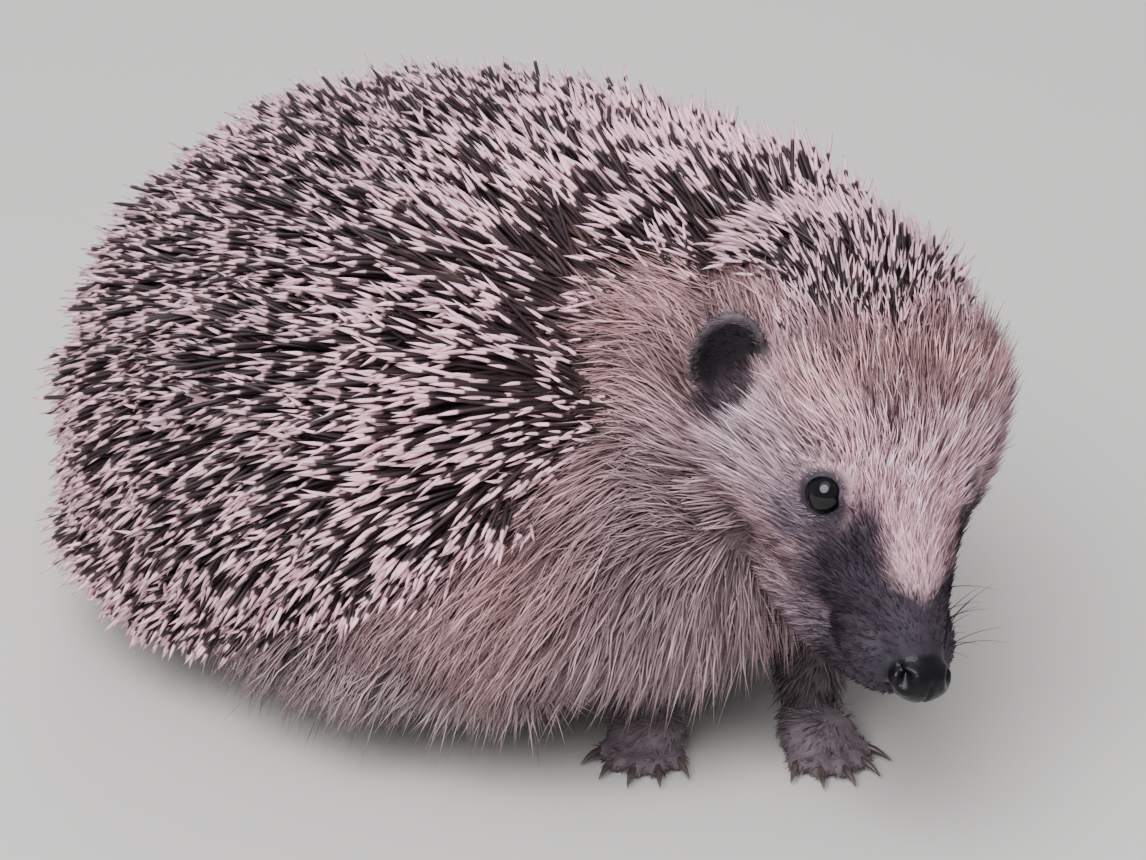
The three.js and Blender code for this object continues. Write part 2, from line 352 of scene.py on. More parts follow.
def toe_form(name, direction):
    """A toe on its pad, turned outwards by half of its place in the fan."""
    toe = bulge([0, 0, 0], toe_half)
    spot, aim = toe_spot(name, direction), limb_turn(math.degrees(direction) * 0.5)
    return lambda *ball: (toe(*ball) @ aim + spot) @ limb_turn(limbs[name][0]) + soles[name]


for name, (heading, length, width, hip) in limbs.items():
    turn, foot = limb_turn(heading), soles[name]
    half = length / 2
    pad_path = np.array([[-half + 0.4, 0, 4.0], [0, 0, 3.4], [half - 3.2, 0, 2.1]]) @ turn + foot
    pad_side = np.array([width / 2 - 1.4, width / 2 - 0.4, width / 2 - 1.0])
    add_form(on_floor(ovoid(pad_path, pad_side, [5.4, 4.1, 2.3], [5.2, 4.4, 2.9])), 40)
    for direction in toe_directions(name):
        add_form(on_floor(toe_form(name, direction)), 24)
    heel = np.array([-length * 0.22, 0, 5]) @ turn + foot
    top = foot + hip
    leg_path = [top, (top + heel) / 2 + [0, 0, 1], heel]
    add_form(ovoid(leg_path, [8.6, 7.2, 5.6], [8.6, 7.2, 5.6]), 32)

tail_low, tail_high = node_box("tail")
tail_middle = (tail_low[0] + tail_high[0]) / 2
tail_path = [[tail_high[0], 0, tail_high[2] - 5], [tail_middle, 0, 22.5], [tail_low[0] + 0.8, 0, 16.4]]
add_form(ovoid(tail_path, [4.2, 3.5, 2.1], [4.2, 3.5, 2.1], up=(0, 1, 0)), 24)
print("forms of the skin:", len(body.verts), "vertices")

# %% [markdown]
# ## One skin
# The forms become one mesh, and a voxel remesh joins them into a single closed surface. Smoothing
# then lets the joins sink in, more on the body than on the small parts of the face and feet.

# %% Melt the forms into one skin


def evaluated(piece):
    """The mesh that a piece's modifiers make."""
    graph = bpy.context.evaluated_depsgraph_get()
    return bpy.data.meshes.new_from_object(piece.evaluated_get(graph))


def new_piece(name, mesh):
    piece = bpy.data.objects.new(name, mesh)
    bpy.context.scene.collection.objects.link(piece)
    return piece


def rows(items, name, width, kind=np.float32):
    """One field of every item, as an array with a row for each."""
    flat = np.empty(len(items) * width, kind)
    items.foreach_get(name, flat)
    return flat.reshape(-1, width)


def coords(mesh):
    return rows(mesh.vertices, "co", 3).astype(float) / mm


def set_coords(mesh, spots):
    mesh.vertices.foreach_set("co", (spots * mm).astype(np.float32).ravel())
    mesh.update()


voxel = 0.75
rough = bpy.data.meshes.new("forms")
body.to_mesh(rough)
body.free()
forms = new_piece("forms", rough)
melt = forms.modifiers.new("melt", "REMESH")
melt.mode = "VOXEL"
melt.voxel_size = voxel * mm
skin_mesh = evaluated(forms)
bpy.data.objects.remove(forms)
print("one skin:", len(skin_mesh.vertices), "vertices")

# %% Smooth the joins


def smooth(spots, edges, share, rounds):
    """Moves each vertex towards the mean of its neighbours, by its own share, and back a little."""
    count = np.bincount(edges.ravel(), minlength=len(spots))[:, None]
    for turn in range(rounds * 2):
        total = np.zeros_like(spots)
        np.add.at(total, edges[:, 0], spots[edges[:, 1]])
        np.add.at(total, edges[:, 1], spots[edges[:, 0]])
        pull = 0.55 if turn % 2 == 0 else -0.35
        spots = spots + (total / np.maximum(count, 1) - spots) * (share * pull)[:, None]
    return spots


def fine_places(spots):
    """1 on the muzzle, ears and feet, whose shape is small, and 0 on the body."""
    local = to_head(spots)
    muzzle = soft_step(4, 12, local[:, 0]) * soft_step(-32, -26, local[:, 2])
    foot = 1 - soft_step(8, 12, spots[:, 2])
    ear = sum(1 - soft_step(10, 14, np.linalg.norm(local - place, axis=1)) for place, *_ in ears.values())
    return np.clip(muzzle + foot + ear, 0, 1)


spots = coords(skin_mesh)
fine = fine_places(spots)
spots = smooth(spots, rows(skin_mesh.edges, "vertices", 2, np.int32), 1 - 0.8 * fine, 14)
spots[:, 2] = np.where(spots[:, 2] < 0.35, 0, spots[:, 2])
set_coords(skin_mesh, spots)
print("smoothed", int((fine < 0.5).sum()), "vertices of the body")

# %% [markdown]
# The skin needs small faces only where it will be seen bare. The trunk, which hides under the
# spines, is thinned, and the face is divided again round the eyes, the nose and the mouth.

# %% Thin the trunk and refine the face
skin = new_piece("skin", skin_mesh)
group = skin.vertex_groups.new(name="thin")
local = to_head(spots)
near_face = soft_step(-34, -26, local[:, 0]) * soft_step(-40, -30, local[:, 2])
hidden = np.flatnonzero((1 - fine) * (1 - near_face) > 0.5)
group.add(hidden.tolist(), 1.0, "REPLACE")
kept_of_hidden = 0.14
thin = skin.modifiers.new("thin", "DECIMATE")
thin.ratio = 1 - len(hidden) / len(spots) * (1 - kept_of_hidden)
thin.vertex_group = "thin"
thinned = evaluated(skin)
skin.modifiers.clear()
skin.vertex_groups.clear()
skin.data = thinned

mesh = bmesh.new()
mesh.from_mesh(thinned)


def divide_near(chosen):
    """Divides the faces whose middle is chosen, given in the head's frame."""
    middles = to_head(np.array([f.calc_center_median() for f in mesh.faces]) / mm)
    faces = [f for f, yes in zip(mesh.faces[:], chosen(middles)) if yes]
    edges = {e for f in faces for e in f.edges}
    bmesh.ops.subdivide_edges(mesh, edges=list(edges), cuts=1, use_grid_fill=True, smooth=0.0)
    return len(faces)


def near_eyes(local, reach):
    left = np.linalg.norm(local - eye_place, axis=1)
    right = np.linalg.norm(local - eye_place * [1, -1, 1], axis=1)
    return np.minimum(left, right) < reach


def face_front(local):
    return (local[:, 0] > -8) & (local[:, 2] > -26)


def eyes_and_nose(local):
    return near_eyes(local, 6.5) | ((local[:, 0] > 17) & (local[:, 2] > -22))


print("divided", divide_near(face_front), "faces of the face")
print("and again", divide_near(eyes_and_nose), "round the eyes and nose")
bmesh.ops.triangulate(mesh, faces=[f for f in mesh.faces if len(f.verts) > 4])
mesh.to_mesh(thinned)
mesh.free()
print("skin:", len(thinned.vertices), "vertices,", len(thinned.polygons), "faces")

# %% [markdown]
# ## Eyes, nostrils and mouth
# The eye is a ball set deep in the head, and the lids are the skin itself, draped over the ball
# with an opening. So each vertex near an eye is moved along its line from the ball's middle: out
# of sight under the ball inside the opening, up to a raised margin at its edge, and back to the
# face further out. Nostrils and mouth are pressed in with soft bells.

# %% Lids, nostrils and mouth
eyeball_radius = 3.2
lid_thickness = 0.3
opening = math.radians(66)
gaze = {side: unit(np.array([0.44, sign * 0.80, 0.40])) for side, sign in sides.items()}
eyeballs = {side: eye_place * [1, sign, 1] - 0.8 * gaze[side] for side, sign in sides.items()}


def drape_lids(local):
    for side, centre in eyeballs.items():
        away = local - centre
        distance = np.linalg.norm(away, axis=1)
        direction = away / np.maximum(distance, 1e-6)[:, None]
        out = direction @ gaze[side]
        angle = np.arccos(np.clip(out, -1, 1))
        flat = unit(direction - out[:, None] * gaze[side])
        # the opening has a corner towards the nose
        edge = opening * (1 + 0.12 * np.clip(flat @ [0.85, 0.0, -0.5], 0, 1) ** 4)
        inside = eyeball_radius - 0.9
        margin = eyeball_radius + lid_thickness
        beyond = np.clip((angle - edge) / math.radians(40), 0, 1)
        lid = margin - 0.5 * beyond
        draped = mix(inside, lid, soft_step(edge - 0.05, edge + 0.06, angle))
        face = np.clip(distance, lid, margin + 0.2 + 1.6 * beyond)
        target = np.where(angle < edge + 0.06, draped, face)
        blend = (1 - soft_step(eyeball_radius + 0.8, eyeball_radius + 3.2, distance)) * (out > -0.2)
        local = centre + direction * mix(distance, target, blend)[:, None]
    return local


def press(local, middle, width, depth, rim):
    """A dent towards the inside of the head, at a point, with a raised rim."""
    away = np.linalg.norm((local - middle) / width, axis=1)
    near = bell(away, 1) - rim * bell(away - 1.75, 0.6)
    inwards = unit(np.array([nose_place[0] - 6, 0, nose_place[2]]) - local)
    return local + inwards * (near * depth)[:, None]


def mouth_line(local):
    """A crease from under the nose back along each side of the muzzle."""
    along = local[:, 0]
    height = -15.1 - 0.10 * (22 - along) - 1.1 * soft_step(10, 2, along)
    near = bell(local[:, 2] - height, 0.42) * soft_step(0, 4, along) * (1 - soft_step(22.5, 24, along))
    inwards = np.stack([np.zeros(len(local)), -np.sign(local[:, 1]), np.full(len(local), 0.25)], -1)
    front = soft_step(1.5, 0, np.abs(local[:, 1]))
    inwards[:, 1] *= 1 - front
    inwards[:, 0] -= front
    return local + unit(inwards) * (near * 0.75)[:, None]


# a nostril is a pit in the side of the pad, with a slit that curls up and back from it
nostril_dents = (
    (np.array([1.3, 3.7, 1.7]), np.array([1.1, 1.0, 1.1]), 2.3, 0.07),
    (np.array([-0.6, 4.5, 2.1]), np.array([1.2, 0.8, 0.6]), 1.2, 0.0),
)
spots = coords(thinned)
local = to_head(spots)
local = drape_lids(local)
for sign in sides.values():
    for spot, width, depth, rim in nostril_dents:
        local = press(local, nose_place + spot * [1, sign, 1], width, depth, rim)
groove = bell(local[:, 1], 0.3) * soft_step(24, 26, local[:, 0]) * soft_step(-7.5, -9.0, local[:, 2])
groove *= soft_step(-16.5, -14.5, local[:, 2])
local[:, 0] -= 0.55 * groove
local = mouth_line(local)
spots = from_head(local)
set_coords(thinned, spots)
thinned.polygons.foreach_set("use_smooth", [True] * len(thinned.polygons))
print("lids drawn over eyeballs of", 2 * eyeball_radius, "mm")

# %% [markdown]
# ## Where the spines end and the hair begins
# One set of functions says what grows where: the spiny mantle, the bare places, the colour of the
# hair, and the lie of the coat. The skin and every hair ask the same functions, so the markings
# always agree. The mantle's edge climbs from the rump to behind the ear, and its front edge
# crosses the crown between the ears.

# %% Regions of the coat
nape_x = trunk_middle[0] + 53
mantle_rear, mantle_front, mantle_climb, mantle_fade = 12.0, 21.0, 46.0, 24.0
ear_clearing = np.array([15.0, 12.0, 15.0])


def on_limbs(points, up_to=0.75):
    """1 on the legs, the feet and the tail, where only short hair grows."""
    share = 1 - soft_step(9, 12, points[:, 2])
    for name, (heading, length, width, hip) in limbs.items():
        heel = np.array([-length * 0.22, 0, 5]) @ limb_turn(heading) + soles[name]
        bone = soles[name] + hip - heel
        t = np.clip((points - heel) @ bone / (bone @ bone), 0, up_to)
        distance = np.linalg.norm(points - heel - t[:, None] * bone, axis=1)
        share = np.maximum(share, 1 - soft_step(7.5, 10.5, distance))
    root = np.array(tail_path[0])
    rear = unit(np.array(tail_path[2]) - root)
    behind = (points - root) @ rear
    to_tail = np.linalg.norm(points - root - behind[:, None] * rear, axis=1)
    return np.maximum(share, (1 - soft_step(5.5, 8, to_tail)) * soft_step(2, 5, behind))


def mantle(points):
    """Above 0 where spines grow; the value is roughly the distance from the edge, in mm."""
    local = to_head(points)
    low = mix(mantle_rear, mantle_front, soft_step(-35, 5, points[:, 0]))
    edge = low + mantle_climb * np.exp((points[:, 0] - nape_x) / mantle_fade)
    on_trunk = (points[:, 2] - edge) * 0.65
    brow = -11.0 - 0.016 * local[:, 1] ** 2
    nape = local[:, 2] - 4.5 + 0.5 * np.clip(-26 - local[:, 0], 0, 30)
    on_head = np.where(local[:, 0] < -62, -50, np.minimum(brow - local[:, 0], nape))
    share = np.maximum(on_trunk, on_head) - 20 * on_limbs(points, 0.25)
    for place, *_ in ears.values():
        from_ear = np.linalg.norm((local - place - [-6, 0.04 * place[1], -4]) / ear_clearing, axis=1)
        share = np.minimum(share, (from_ear - 1) * ear_clearing[1])
    return share


def ear_reach(points, grow=1.0):
    """Distance from the nearer ear, 1 at its rim; and its front (+) or back (-)."""
    local = to_head(points)
    reach = np.full(len(points), 9.0)
    front = np.zeros(len(points))
    for side, (place, *_) in ears.items():
        q = (local - place) @ ear_axes(side).T
        across, along = q[:, 1] / ear_half[1], q[:, 2] / ear_half[2]
        from_middle = np.hypot(across, along)
        lift = q[:, 0] + cup_at(across, along)
        close = (np.abs(lift) < 1.6 * grow) & (from_middle < 1.25) & (from_middle < reach)
        reach = np.where(close, from_middle, reach)
        front = np.where(close, np.sign(lift), front)
    return reach, front


def on_face(points):
    local = to_head(points)
    ahead_of_ears = soft_step(-26, -16, local[:, 0]) * soft_step(-36, -28, local[:, 2])
    return ahead_of_ears * soft_step(31, 24, np.abs(local[:, 1]))


print("spines end", mantle_rear, "mm above the floor at the rump and", mantle_front, "mm at the side")

# %% [markdown]
# ## Markings
# The markings are painted by place, not drawn by hand, so that each hair can ask for its own
# colour. Levels from 0 to 255, as on a screen, are turned into the linear light that a renderer
# adds up. The face is the busiest part: a dark mask from the eye to the nose, a pale brow and
# bridge, and brown hairs mixed with pink ones on the forehead.

# %% Colours


def from_srgb(*levels):
    c = np.array(levels) / 255
    return np.where(c <= 0.04045, c / 12.92, ((c + 0.055) / 1.055) ** 2.4)


fawn = from_srgb(194, 158, 164)
fawn_low = from_srgb(160, 134, 139)
flank_grey = from_srgb(178, 156, 166)
fringe_grey = from_srgb(164, 145, 147)
brow_pale = from_srgb(255, 208, 219)
forehead_pink = from_srgb(214, 167, 167)
cheek_pale = from_srgb(190, 164, 174)
mask_dark = from_srgb(61, 51, 62)
mask_soft = from_srgb(128, 111, 122)
leg_brown = from_srgb(114, 102, 107)
throat_shade = from_srgb(84, 74, 72)
ear_rim = from_srgb(104, 92, 98)
ear_inside = from_srgb(45, 39, 45)
nose_black = from_srgb(8, 7, 12)
nose_edge = from_srgb(44, 41, 51)
lid_black = from_srgb(26, 23, 28)
lid_blue = from_srgb(104, 103, 122)
skin_under_spines = from_srgb(52, 42, 38)
paw_skin = from_srgb(102, 90, 96)
belly_grey = from_srgb(120, 108, 104)

# %% Markings of the coat


def blotches(points, size, seed=0.0):
    """A soft natural unevenness, from -1 to 1."""
    x, y, z = (points / size + seed).T
    wave = np.sin(x * 1.7 + 1.3 * np.sin(y * 1.1)) + np.sin(y * 2.3 + 1.7 * np.sin(z * 1.3))
    wave += np.sin(z * 1.9 + 1.1 * np.sin(x * 1.5))
    return wave / 3


def mask_share(local):
    """The dark mask: round the eyes, down the sides of the muzzle and over its tip."""
    f, l, u = local[:, 0], np.abs(local[:, 1]), local[:, 2]
    to_eye = np.linalg.norm(np.stack([f - 1.7, l - 12.2, u + 4.0], -1) / [5.6, 6.0, 7.0], axis=1)
    turned_away = (local[:, 1] > 0) * 1.0
    round_eye = 1 - soft_step(0.55 - 0.15 * turned_away, 1.42 - 0.4 * turned_away, to_eye)
    stripe = through([7.6, 5.6, 4.0, 2.6, 0.6], np.clip((f + 1) / 21, 0, 1))
    stripe += 3.2 * turned_away * soft_step(17, 10, f)
    rough = 1.1 * blotches(local, 2.2, 4.0)
    beside = soft_step(stripe - 1.8, stripe + 3.0, l + np.maximum(-7 - u, 0) * 0.8 + rough)
    beside *= soft_step(0.5, 8, f) * (0.55 + 0.45 * soft_step(-21, -14, u + 0.5 * f - 4))
    tip = 0.95 * soft_step(14.0, 21.0, f)
    return np.clip(np.maximum(round_eye, beside) + tip, 0, 1)


def throat(points):
    """1 under the jaw and between the forelegs, where the coat is short and in shade."""
    x, y, z = points.T
    between_legs = soft_step(40, 30, z) * soft_step(-24, -12, y) * soft_step(34, 24, y)
    return between_legs * soft_step(nape_x - 16, nape_x - 6, x) * soft_step(-24, -27, to_head(points)[:, 2])


def forehead_band(local):
    """1 across the forehead in front of the spines, where brown and pink hairs are mixed."""
    f, l, u = local.T
    return bell(f + 9.5, 8.0) * soft_step(24, 15, np.abs(l)) * soft_step(3, 9, u)


def body_colour(points, local):
    """Neck, flanks, fringe and belly."""
    f, _, u = local.T
    x, _, height = points.T
    colour = mix(fawn_low, fawn, soft_step(62, 80, height))
    colour = mix(colour, flank_grey, soft_step(nape_x - 4, nape_x - 34, x))
    rusty = np.clip(0.5 + blotches(points, 6.0, 2.0), 0, 1) * soft_step(nape_x - 50, nape_x - 20, x)
    colour = mix(colour, forehead_pink * 0.8, 0.45 * rusty * soft_step(34, 50, height))
    beside_spines = soft_step(-22, -6, mantle(points)) * soft_step(20, 34, height)
    colour = mix(colour, forehead_pink * 0.9, 0.5 * beside_spines)
    # painted shade: the neck just behind and below the head is darkened by up to 12 per cent
    collar_shade = bell(f + 28, 10) * soft_step(14, 0, u)
    colour = mix(colour, fringe_grey, 0.75 * soft_step(44, 18, height)) * (1 - 0.12 * collar_shade)[:, None]
    colour = mix(colour, belly_grey, soft_step(20, 16, height) * 0.6)
    # painted shade under the jaw and between the forelegs
    return mix(colour, throat_shade, throat(points) * 0.9)


def face_colour(local):
    """Cheeks, bridge, brow, forehead, mask, and a dark edge round the nose pad."""
    f, l, u = local[:, 0], np.abs(local[:, 1]), local[:, 2]
    colour = mix(fawn_low, fawn, soft_step(-22, -9, u))
    colour = mix(colour, cheek_pale, bell(f + 9, 10) * bell(l - 17, 8) * bell(u + 3, 11))
    # painted light: the cheek behind the eye is lightened by up to 42 per cent, to lift the shade of the
    # crease between head and neck
    cheek = bell(f + 5, 9) * bell(u + 9, 9) * soft_step(14, 19, l)
    bridge = soft_step(2, 8, f)
    colour = colour * (1 + 0.42 * cheek - 0.10 * bridge)[:, None]
    brow = soft_step(1, 6, u + 0.35 * f) * soft_step(18, 12, l)
    colour = mix(colour, brow_pale, brow * 0.9)
    colour = mix(colour, forehead_pink, forehead_band(local) * 0.9)
    darkest = np.clip(soft_step(3, 9, f + 0.6 * (u + 8)) + soft_step(14, 18, f), 0, 1)
    colour = mix(colour, mix(mask_soft, mask_dark, darkest), mask_share(local))
    to_pad = np.linalg.norm((local - nose_place) / (nose_radii + 0.5), axis=1)
    return mix(colour, nose_edge, 0.75 * soft_step(2.1, 1.1, to_pad))


def coat_colour(points):
    """The colour of the coat at a place, for the skin and for every hair that is rooted there."""
    local = to_head(points)
    face = on_face(points)
    colour = mix(body_colour(points, local), face_colour(local), face)
    colour = mix(colour, leg_brown, on_limbs(points) * (1 - face))
    # the right ear stands in a dark round, and an ear's rim is paler than its hollow
    to_ear = np.linalg.norm(local - ears["right"][0] - [0.5, 0, -5], axis=1)
    colour = mix(colour, ear_inside * 1.4, 0.92 * soft_step(9.5, 6.5, to_ear))
    reach, front = ear_reach(points)
    ear_colour = mix(ear_rim, ear_inside, soft_step(0.92, 0.72, reach) * (0.5 + 0.5 * (front > 0)))
    colour = mix(colour, ear_colour, soft_step(1.25, 1.0, reach))
    return colour * (1 + 0.08 * blotches(points, 9.0))[:, None]


print("the nose pad is", nose_black.round(4), "and the brow", brow_pale.round(2), "in linear light")

# %% [markdown]
# ## The lie of the coat
# Hair leans away from the nose, over the head and back along the body, and low on the flanks it
# falls towards the floor. The lie is a direction at every point, flattened onto the skin. Lengths
# grow from a millimetre on the nose to 24 mm on the flank.

# %% Distance from the eyes


def from_eyes(local):
    """Distance from the nearer eye's middle, and the direction away from it."""
    away = local - np.where(local[:, 1:2] < 0, eyeballs["right"], eyeballs["left"])
    distance = np.linalg.norm(away, axis=1)
    return distance, away / np.maximum(distance, 1e-6)[:, None]


def over_eye(points):
    """True for points in front of an eye's opening."""
    distance, away = from_eyes(to_head(points))
    facing = np.maximum(away @ gaze["left"], away @ gaze["right"])
    return (distance < eyeball_radius + 2.5) & (facing > math.cos(0.92 * opening))


# %% The lie of the coat


def lie(points, normals):
    """The direction in which the coat leans, lying flat on the skin."""
    local = to_head(points)
    away = unit(local - [27, 0, -9])
    away[:, 2] -= 0.35 * soft_step(0, -14, local[:, 2])
    away[:, 0] -= 0.35 * soft_step(-6, -20, local[:, 0])
    eye_distance, from_eye = from_eyes(local)
    away = away + from_eye * (0.9 * bell(eye_distance - eyeball_radius, 2.4))[:, None]
    on_head_flow = away @ head_axes
    height = np.clip((points[:, 2] - 20) / 70, 0, 1)
    side = np.clip(points[:, 1] / trunk_half[1], -1, 1)
    fall = 1.85 * (1 - height) ** 1.1
    fall *= 1 - 0.4 * soft_step(nape_x - 14, nape_x, points[:, 0]) * soft_step(46, 60, points[:, 2])
    on_body_flow = np.stack([np.full(len(points), -1.0), 0.35 * side, -fall], -1)
    share = soft_step(-40, -24, local[:, 0]) * soft_step(30, 21, np.abs(local[:, 1]))
    share *= soft_step(-32, -24, local[:, 2] + 0.35 * np.maximum(local[:, 0], 0))
    flow = mix(unit(on_body_flow), unit(on_head_flow), share)
    flow = flow - (flow * normals).sum(-1, keepdims=True) * normals
    return unit(flow)


# %% Length of the hair


def body_hair_length(points):
    x, y, z = points.T
    length = mix(18.0, 24.0, soft_step(nape_x + 4, nape_x - 18, x))
    length = mix(length, 11.5, soft_step(0, -55, x))
    length = mix(length, 10.0, soft_step(22, 17, z) * soft_step(40, 30, np.abs(y)))
    beside_spines = soft_step(-12, -1, mantle(points)) * soft_step(-30, 0, x)
    return mix(length, 6.0, throat(points)) * (1 - 0.4 * beside_spines)


def face_hair_length(local):
    f, _, u = local.T
    along_face = np.clip((f + 18) / 42, 0, 1)
    forehead = through([11.0, 8.2, 6.2, 4.2, 2.7, 1.3], along_face)
    cheek = through([12.0, 9.0, 5.5, 3.6, 2.4, 1.2], along_face)
    length = mix(cheek, forehead, soft_step(-4, 5, u))
    return mix(1.5, length, soft_step(4.0, 8.0, from_eyes(local)[0]))


def hair_length(points):
    """In millimetres, for the place where a hair is rooted."""
    local = to_head(points)
    x, _, z = points.T
    face = on_face(points)
    not_face = 1 - face
    length = mix(body_hair_length(points), face_hair_length(local), face)
    fore_fringe = soft_step(nape_x - 32, nape_x - 16, x) * soft_step(44, 30, z)
    length = mix(length, np.minimum(length, 13.0), fore_fringe * not_face)
    # the fringe ends about a centimetre above the floor
    hang = np.maximum((z - 14) * 1.05 + 2.5, 2.5)
    length = mix(length, np.minimum(length, hang), soft_step(40, 28, x) * not_face)
    length = mix(length, 4.5, on_limbs(points) * not_face)
    length = mix(length, 1.8, soft_step(9, 5, z) * not_face)
    for place, *_ in ears.values():
        # the hair in front of an ear stops short of it
        room = np.maximum(2.4, 0.9 * (np.linalg.norm(local - place, axis=1) - 7.0) + 2.4)
        length = np.where(local[:, 0] > place[0] - 3, np.minimum(length, room), length)
    return mix(length, 1.6, soft_step(1.25, 1.05, ear_reach(points)[0]))


on_flank = np.array([[0.0, -trunk_skin[1], 30.0]])
print("hair on the flank is", round(float(hair_length(on_flank)[0])), "mm long")

# %% [markdown]
# ## The skin's finish
# The skin carries the coat's colours in an attribute, darkened where hair or spines will cover
# it, because little light gets down there. The same attribute's companion says how wet and bare
# it is, for the nose and the rims of the lids.

# %% Colour the skin


def store(mesh, name, kind, values):
    layer = mesh.attributes.new(name, kind, "POINT")
    values = np.asarray(values, np.float32)
    if kind == "FLOAT_COLOR":
        full = np.ones((len(mesh.vertices), 4), np.float32)
        full[:, :3] = values
        layer.data.foreach_set("color", full.ravel())
    else:
        layer.data.foreach_set("value", values.ravel())


local = to_head(spots)
eye_distance = from_eyes(local)[0]
pad_reach = np.linalg.norm((local - nose_place - [0.2, 0, 0.1]) / (nose_radii + 0.35), axis=1)
wet_nose = 1 - soft_step(0.95, 1.18, pad_reach)
lid_rim = bell(eye_distance - (eyeball_radius + lid_thickness), 0.18)
covered = 0.5 + 0.32 * soft_step(6, 2, hair_length(spots))
skin_colour = coat_colour(spots) * covered[:, None]
under_spines = soft_step(-2, 2, mantle(spots)) * (1 - on_face(spots))
skin_colour = mix(skin_colour, skin_under_spines, under_spines)
near_lids = bell(eye_distance - eyeball_radius, 2.0)
skin_colour = mix(skin_colour, lid_black, near_lids * 0.95)
upper_lid = soft_step(-0.1, 0.6, from_eyes(local)[1] @ unit(np.array([-0.3, 0.0, 1.0])))
skin_colour = mix(skin_colour, lid_blue, lid_rim * upper_lid * 0.6)
skin_colour = mix(skin_colour, paw_skin, soft_step(6, 3, spots[:, 2]) * (1 - on_face(spots)))
skin_colour = mix(skin_colour, nose_black, wet_nose)
store(thinned, "tone", "FLOAT_COLOR", skin_colour)
store(thinned, "wet", "FLOAT", np.clip(wet_nose + 0.35 * lid_rim, 0, 1))
print("wet places:", int((wet_nose > 0.5).sum()), "vertices of the nose")

# %% Materials


def new_material(name, roughness, specular=0.5, **constants):
    made = bpy.data.materials.new(name)
    made.use_nodes = True
    shader = made.node_tree.nodes["Principled BSDF"]
    shader.inputs["Roughness"].default_value = roughness
    shader.inputs["Specular IOR Level"].default_value = specular
    for socket, value in constants.items():
        shader.inputs[socket.replace("_", " ")].default_value = value
    return made, made.node_tree.nodes, made.node_tree.links, shader


def read_attribute(nodes, name):
    node = nodes.new("ShaderNodeAttribute")
    node.attribute_name = name
    return node


def add_bump(nodes, links, shader, height, strength, distance):
    bump = nodes.new("ShaderNodeBump")
    bump.inputs["Strength"].default_value = strength
    bump.inputs["Distance"].default_value = distance * mm
    links.new(height, bump.inputs["Height"])
    links.new(bump.outputs["Normal"], shader.inputs["Normal"])


def noise(nodes, links, scale, detail=4.0):
    """A fine unevenness that stays with the piece."""
    where = nodes.new("ShaderNodeTexCoord")
    texture = nodes.new("ShaderNodeTexNoise")
    texture.inputs["Scale"].default_value = scale
    texture.inputs["Detail"].default_value = detail
    links.new(where.outputs["Object"], texture.inputs["Vector"])
    return texture


def multiply(nodes, links, a, b):
    node = nodes.new("ShaderNodeMix")
    node.data_type = "RGBA"
    node.blend_type = "MULTIPLY"
    node.inputs["Factor"].default_value = 1
    links.new(a, node.inputs["A"])
    links.new(b, node.inputs["B"])
    return node.outputs["Result"]


def ramp(nodes, links, value, stops):
    """Colours or grey levels at stops from 0 to 1."""
    node = nodes.new("ShaderNodeValToRGB")
    links.new(value, node.inputs["Fac"])
    elements = node.color_ramp.elements
    for i, (place, level) in enumerate(stops):
        element = elements[i] if i < 2 else elements.new(place)
        element.position = place
        element.color = (*([level] * 3 if np.isscalar(level) else level), 1)
    return node.outputs["Color"]


skin_finish, nodes, links, shader = new_material("skin_and_nose", 0.6, 0.25, Subsurface_Weight=0.06)
shader.inputs["Subsurface Radius"].default_value = (1.2 * mm, 0.5 * mm, 0.3 * mm)
shader.inputs["Subsurface Scale"].default_value = 1.0
mottle = noise(nodes, links, 900)
tone = multiply(nodes, links, read_attribute(nodes, "tone").outputs["Color"],
                ramp(nodes, links, mottle.outputs["Fac"], [(0.3, 0.72), (0.7, 1.2)]))
links.new(tone, shader.inputs["Base Color"])
wet = read_attribute(nodes, "wet")
sheen = nodes.new("ShaderNodeMapRange")
links.new(wet.outputs["Fac"], sheen.inputs["Value"])
sheen.inputs["To Min"].default_value = 0.62
sheen.inputs["To Max"].default_value = 0.34
links.new(sheen.outputs["Result"], shader.inputs["Roughness"])
pebbles = nodes.new("ShaderNodeTexVoronoi")
pebbles.inputs["Scale"].default_value = 2300
where = nodes.new("ShaderNodeTexCoord")
links.new(where.outputs["Object"], pebbles.inputs["Vector"])
add_bump(nodes, links, shader, pebbles.outputs["Distance"], 0.3, 0.05)
thinned.materials.clear()
thinned.materials.append(skin_finish)

# %% [markdown]
# ## A map for the coat's colours
# Each spine and hair will carry its colours on a map of its own patch. The patches lie where the
# roots lie on an unwrap of the skin, so that neighbours on the animal are neighbours on the map.

# %% Unwrap the skin
bpy.context.view_layer.objects.active = skin
skin.select_set(True)
bpy.ops.object.mode_set(mode="EDIT")
bpy.ops.mesh.select_all(action="SELECT")
bpy.ops.uv.smart_project(angle_limit=math.radians(66), island_margin=0.002)
bpy.ops.object.mode_set(mode="OBJECT")
thinned = skin.data
thinned.uv_layers[0].name = "OFBake"
print("unwrapped", len(thinned.uv_layers[0].data), "corners")

# %% [markdown]
# ## Planting roots
# Roots are scattered over the skin's triangles, each triangle taking its share by area and by how
# dense the coat is there. The draws are seeded, so every run grows the same coat.

# %% Triangles of the skin
thinned.calc_loop_triangles()
triangle_count = len(thinned.loop_triangles)
corners = rows(thinned.loop_triangles, "vertices", 3, np.int32)
corner_loops = rows(thinned.loop_triangles, "loops", 3, np.int32)
skin_uv = rows(thinned.uv_layers["OFBake"].data, "uv", 2)
skin_normals = rows(thinned.vertices, "normal", 3).astype(float)
triangle_points = spots[corners]
edge_one = triangle_points[:, 1] - triangle_points[:, 0]
edge_two = triangle_points[:, 2] - triangle_points[:, 0]
areas = 0.5 * np.linalg.norm(np.cross(edge_one, edge_two), axis=1)
middles = triangle_points.mean(1)
print("skin area", round(areas.sum() / 100), "cm2")


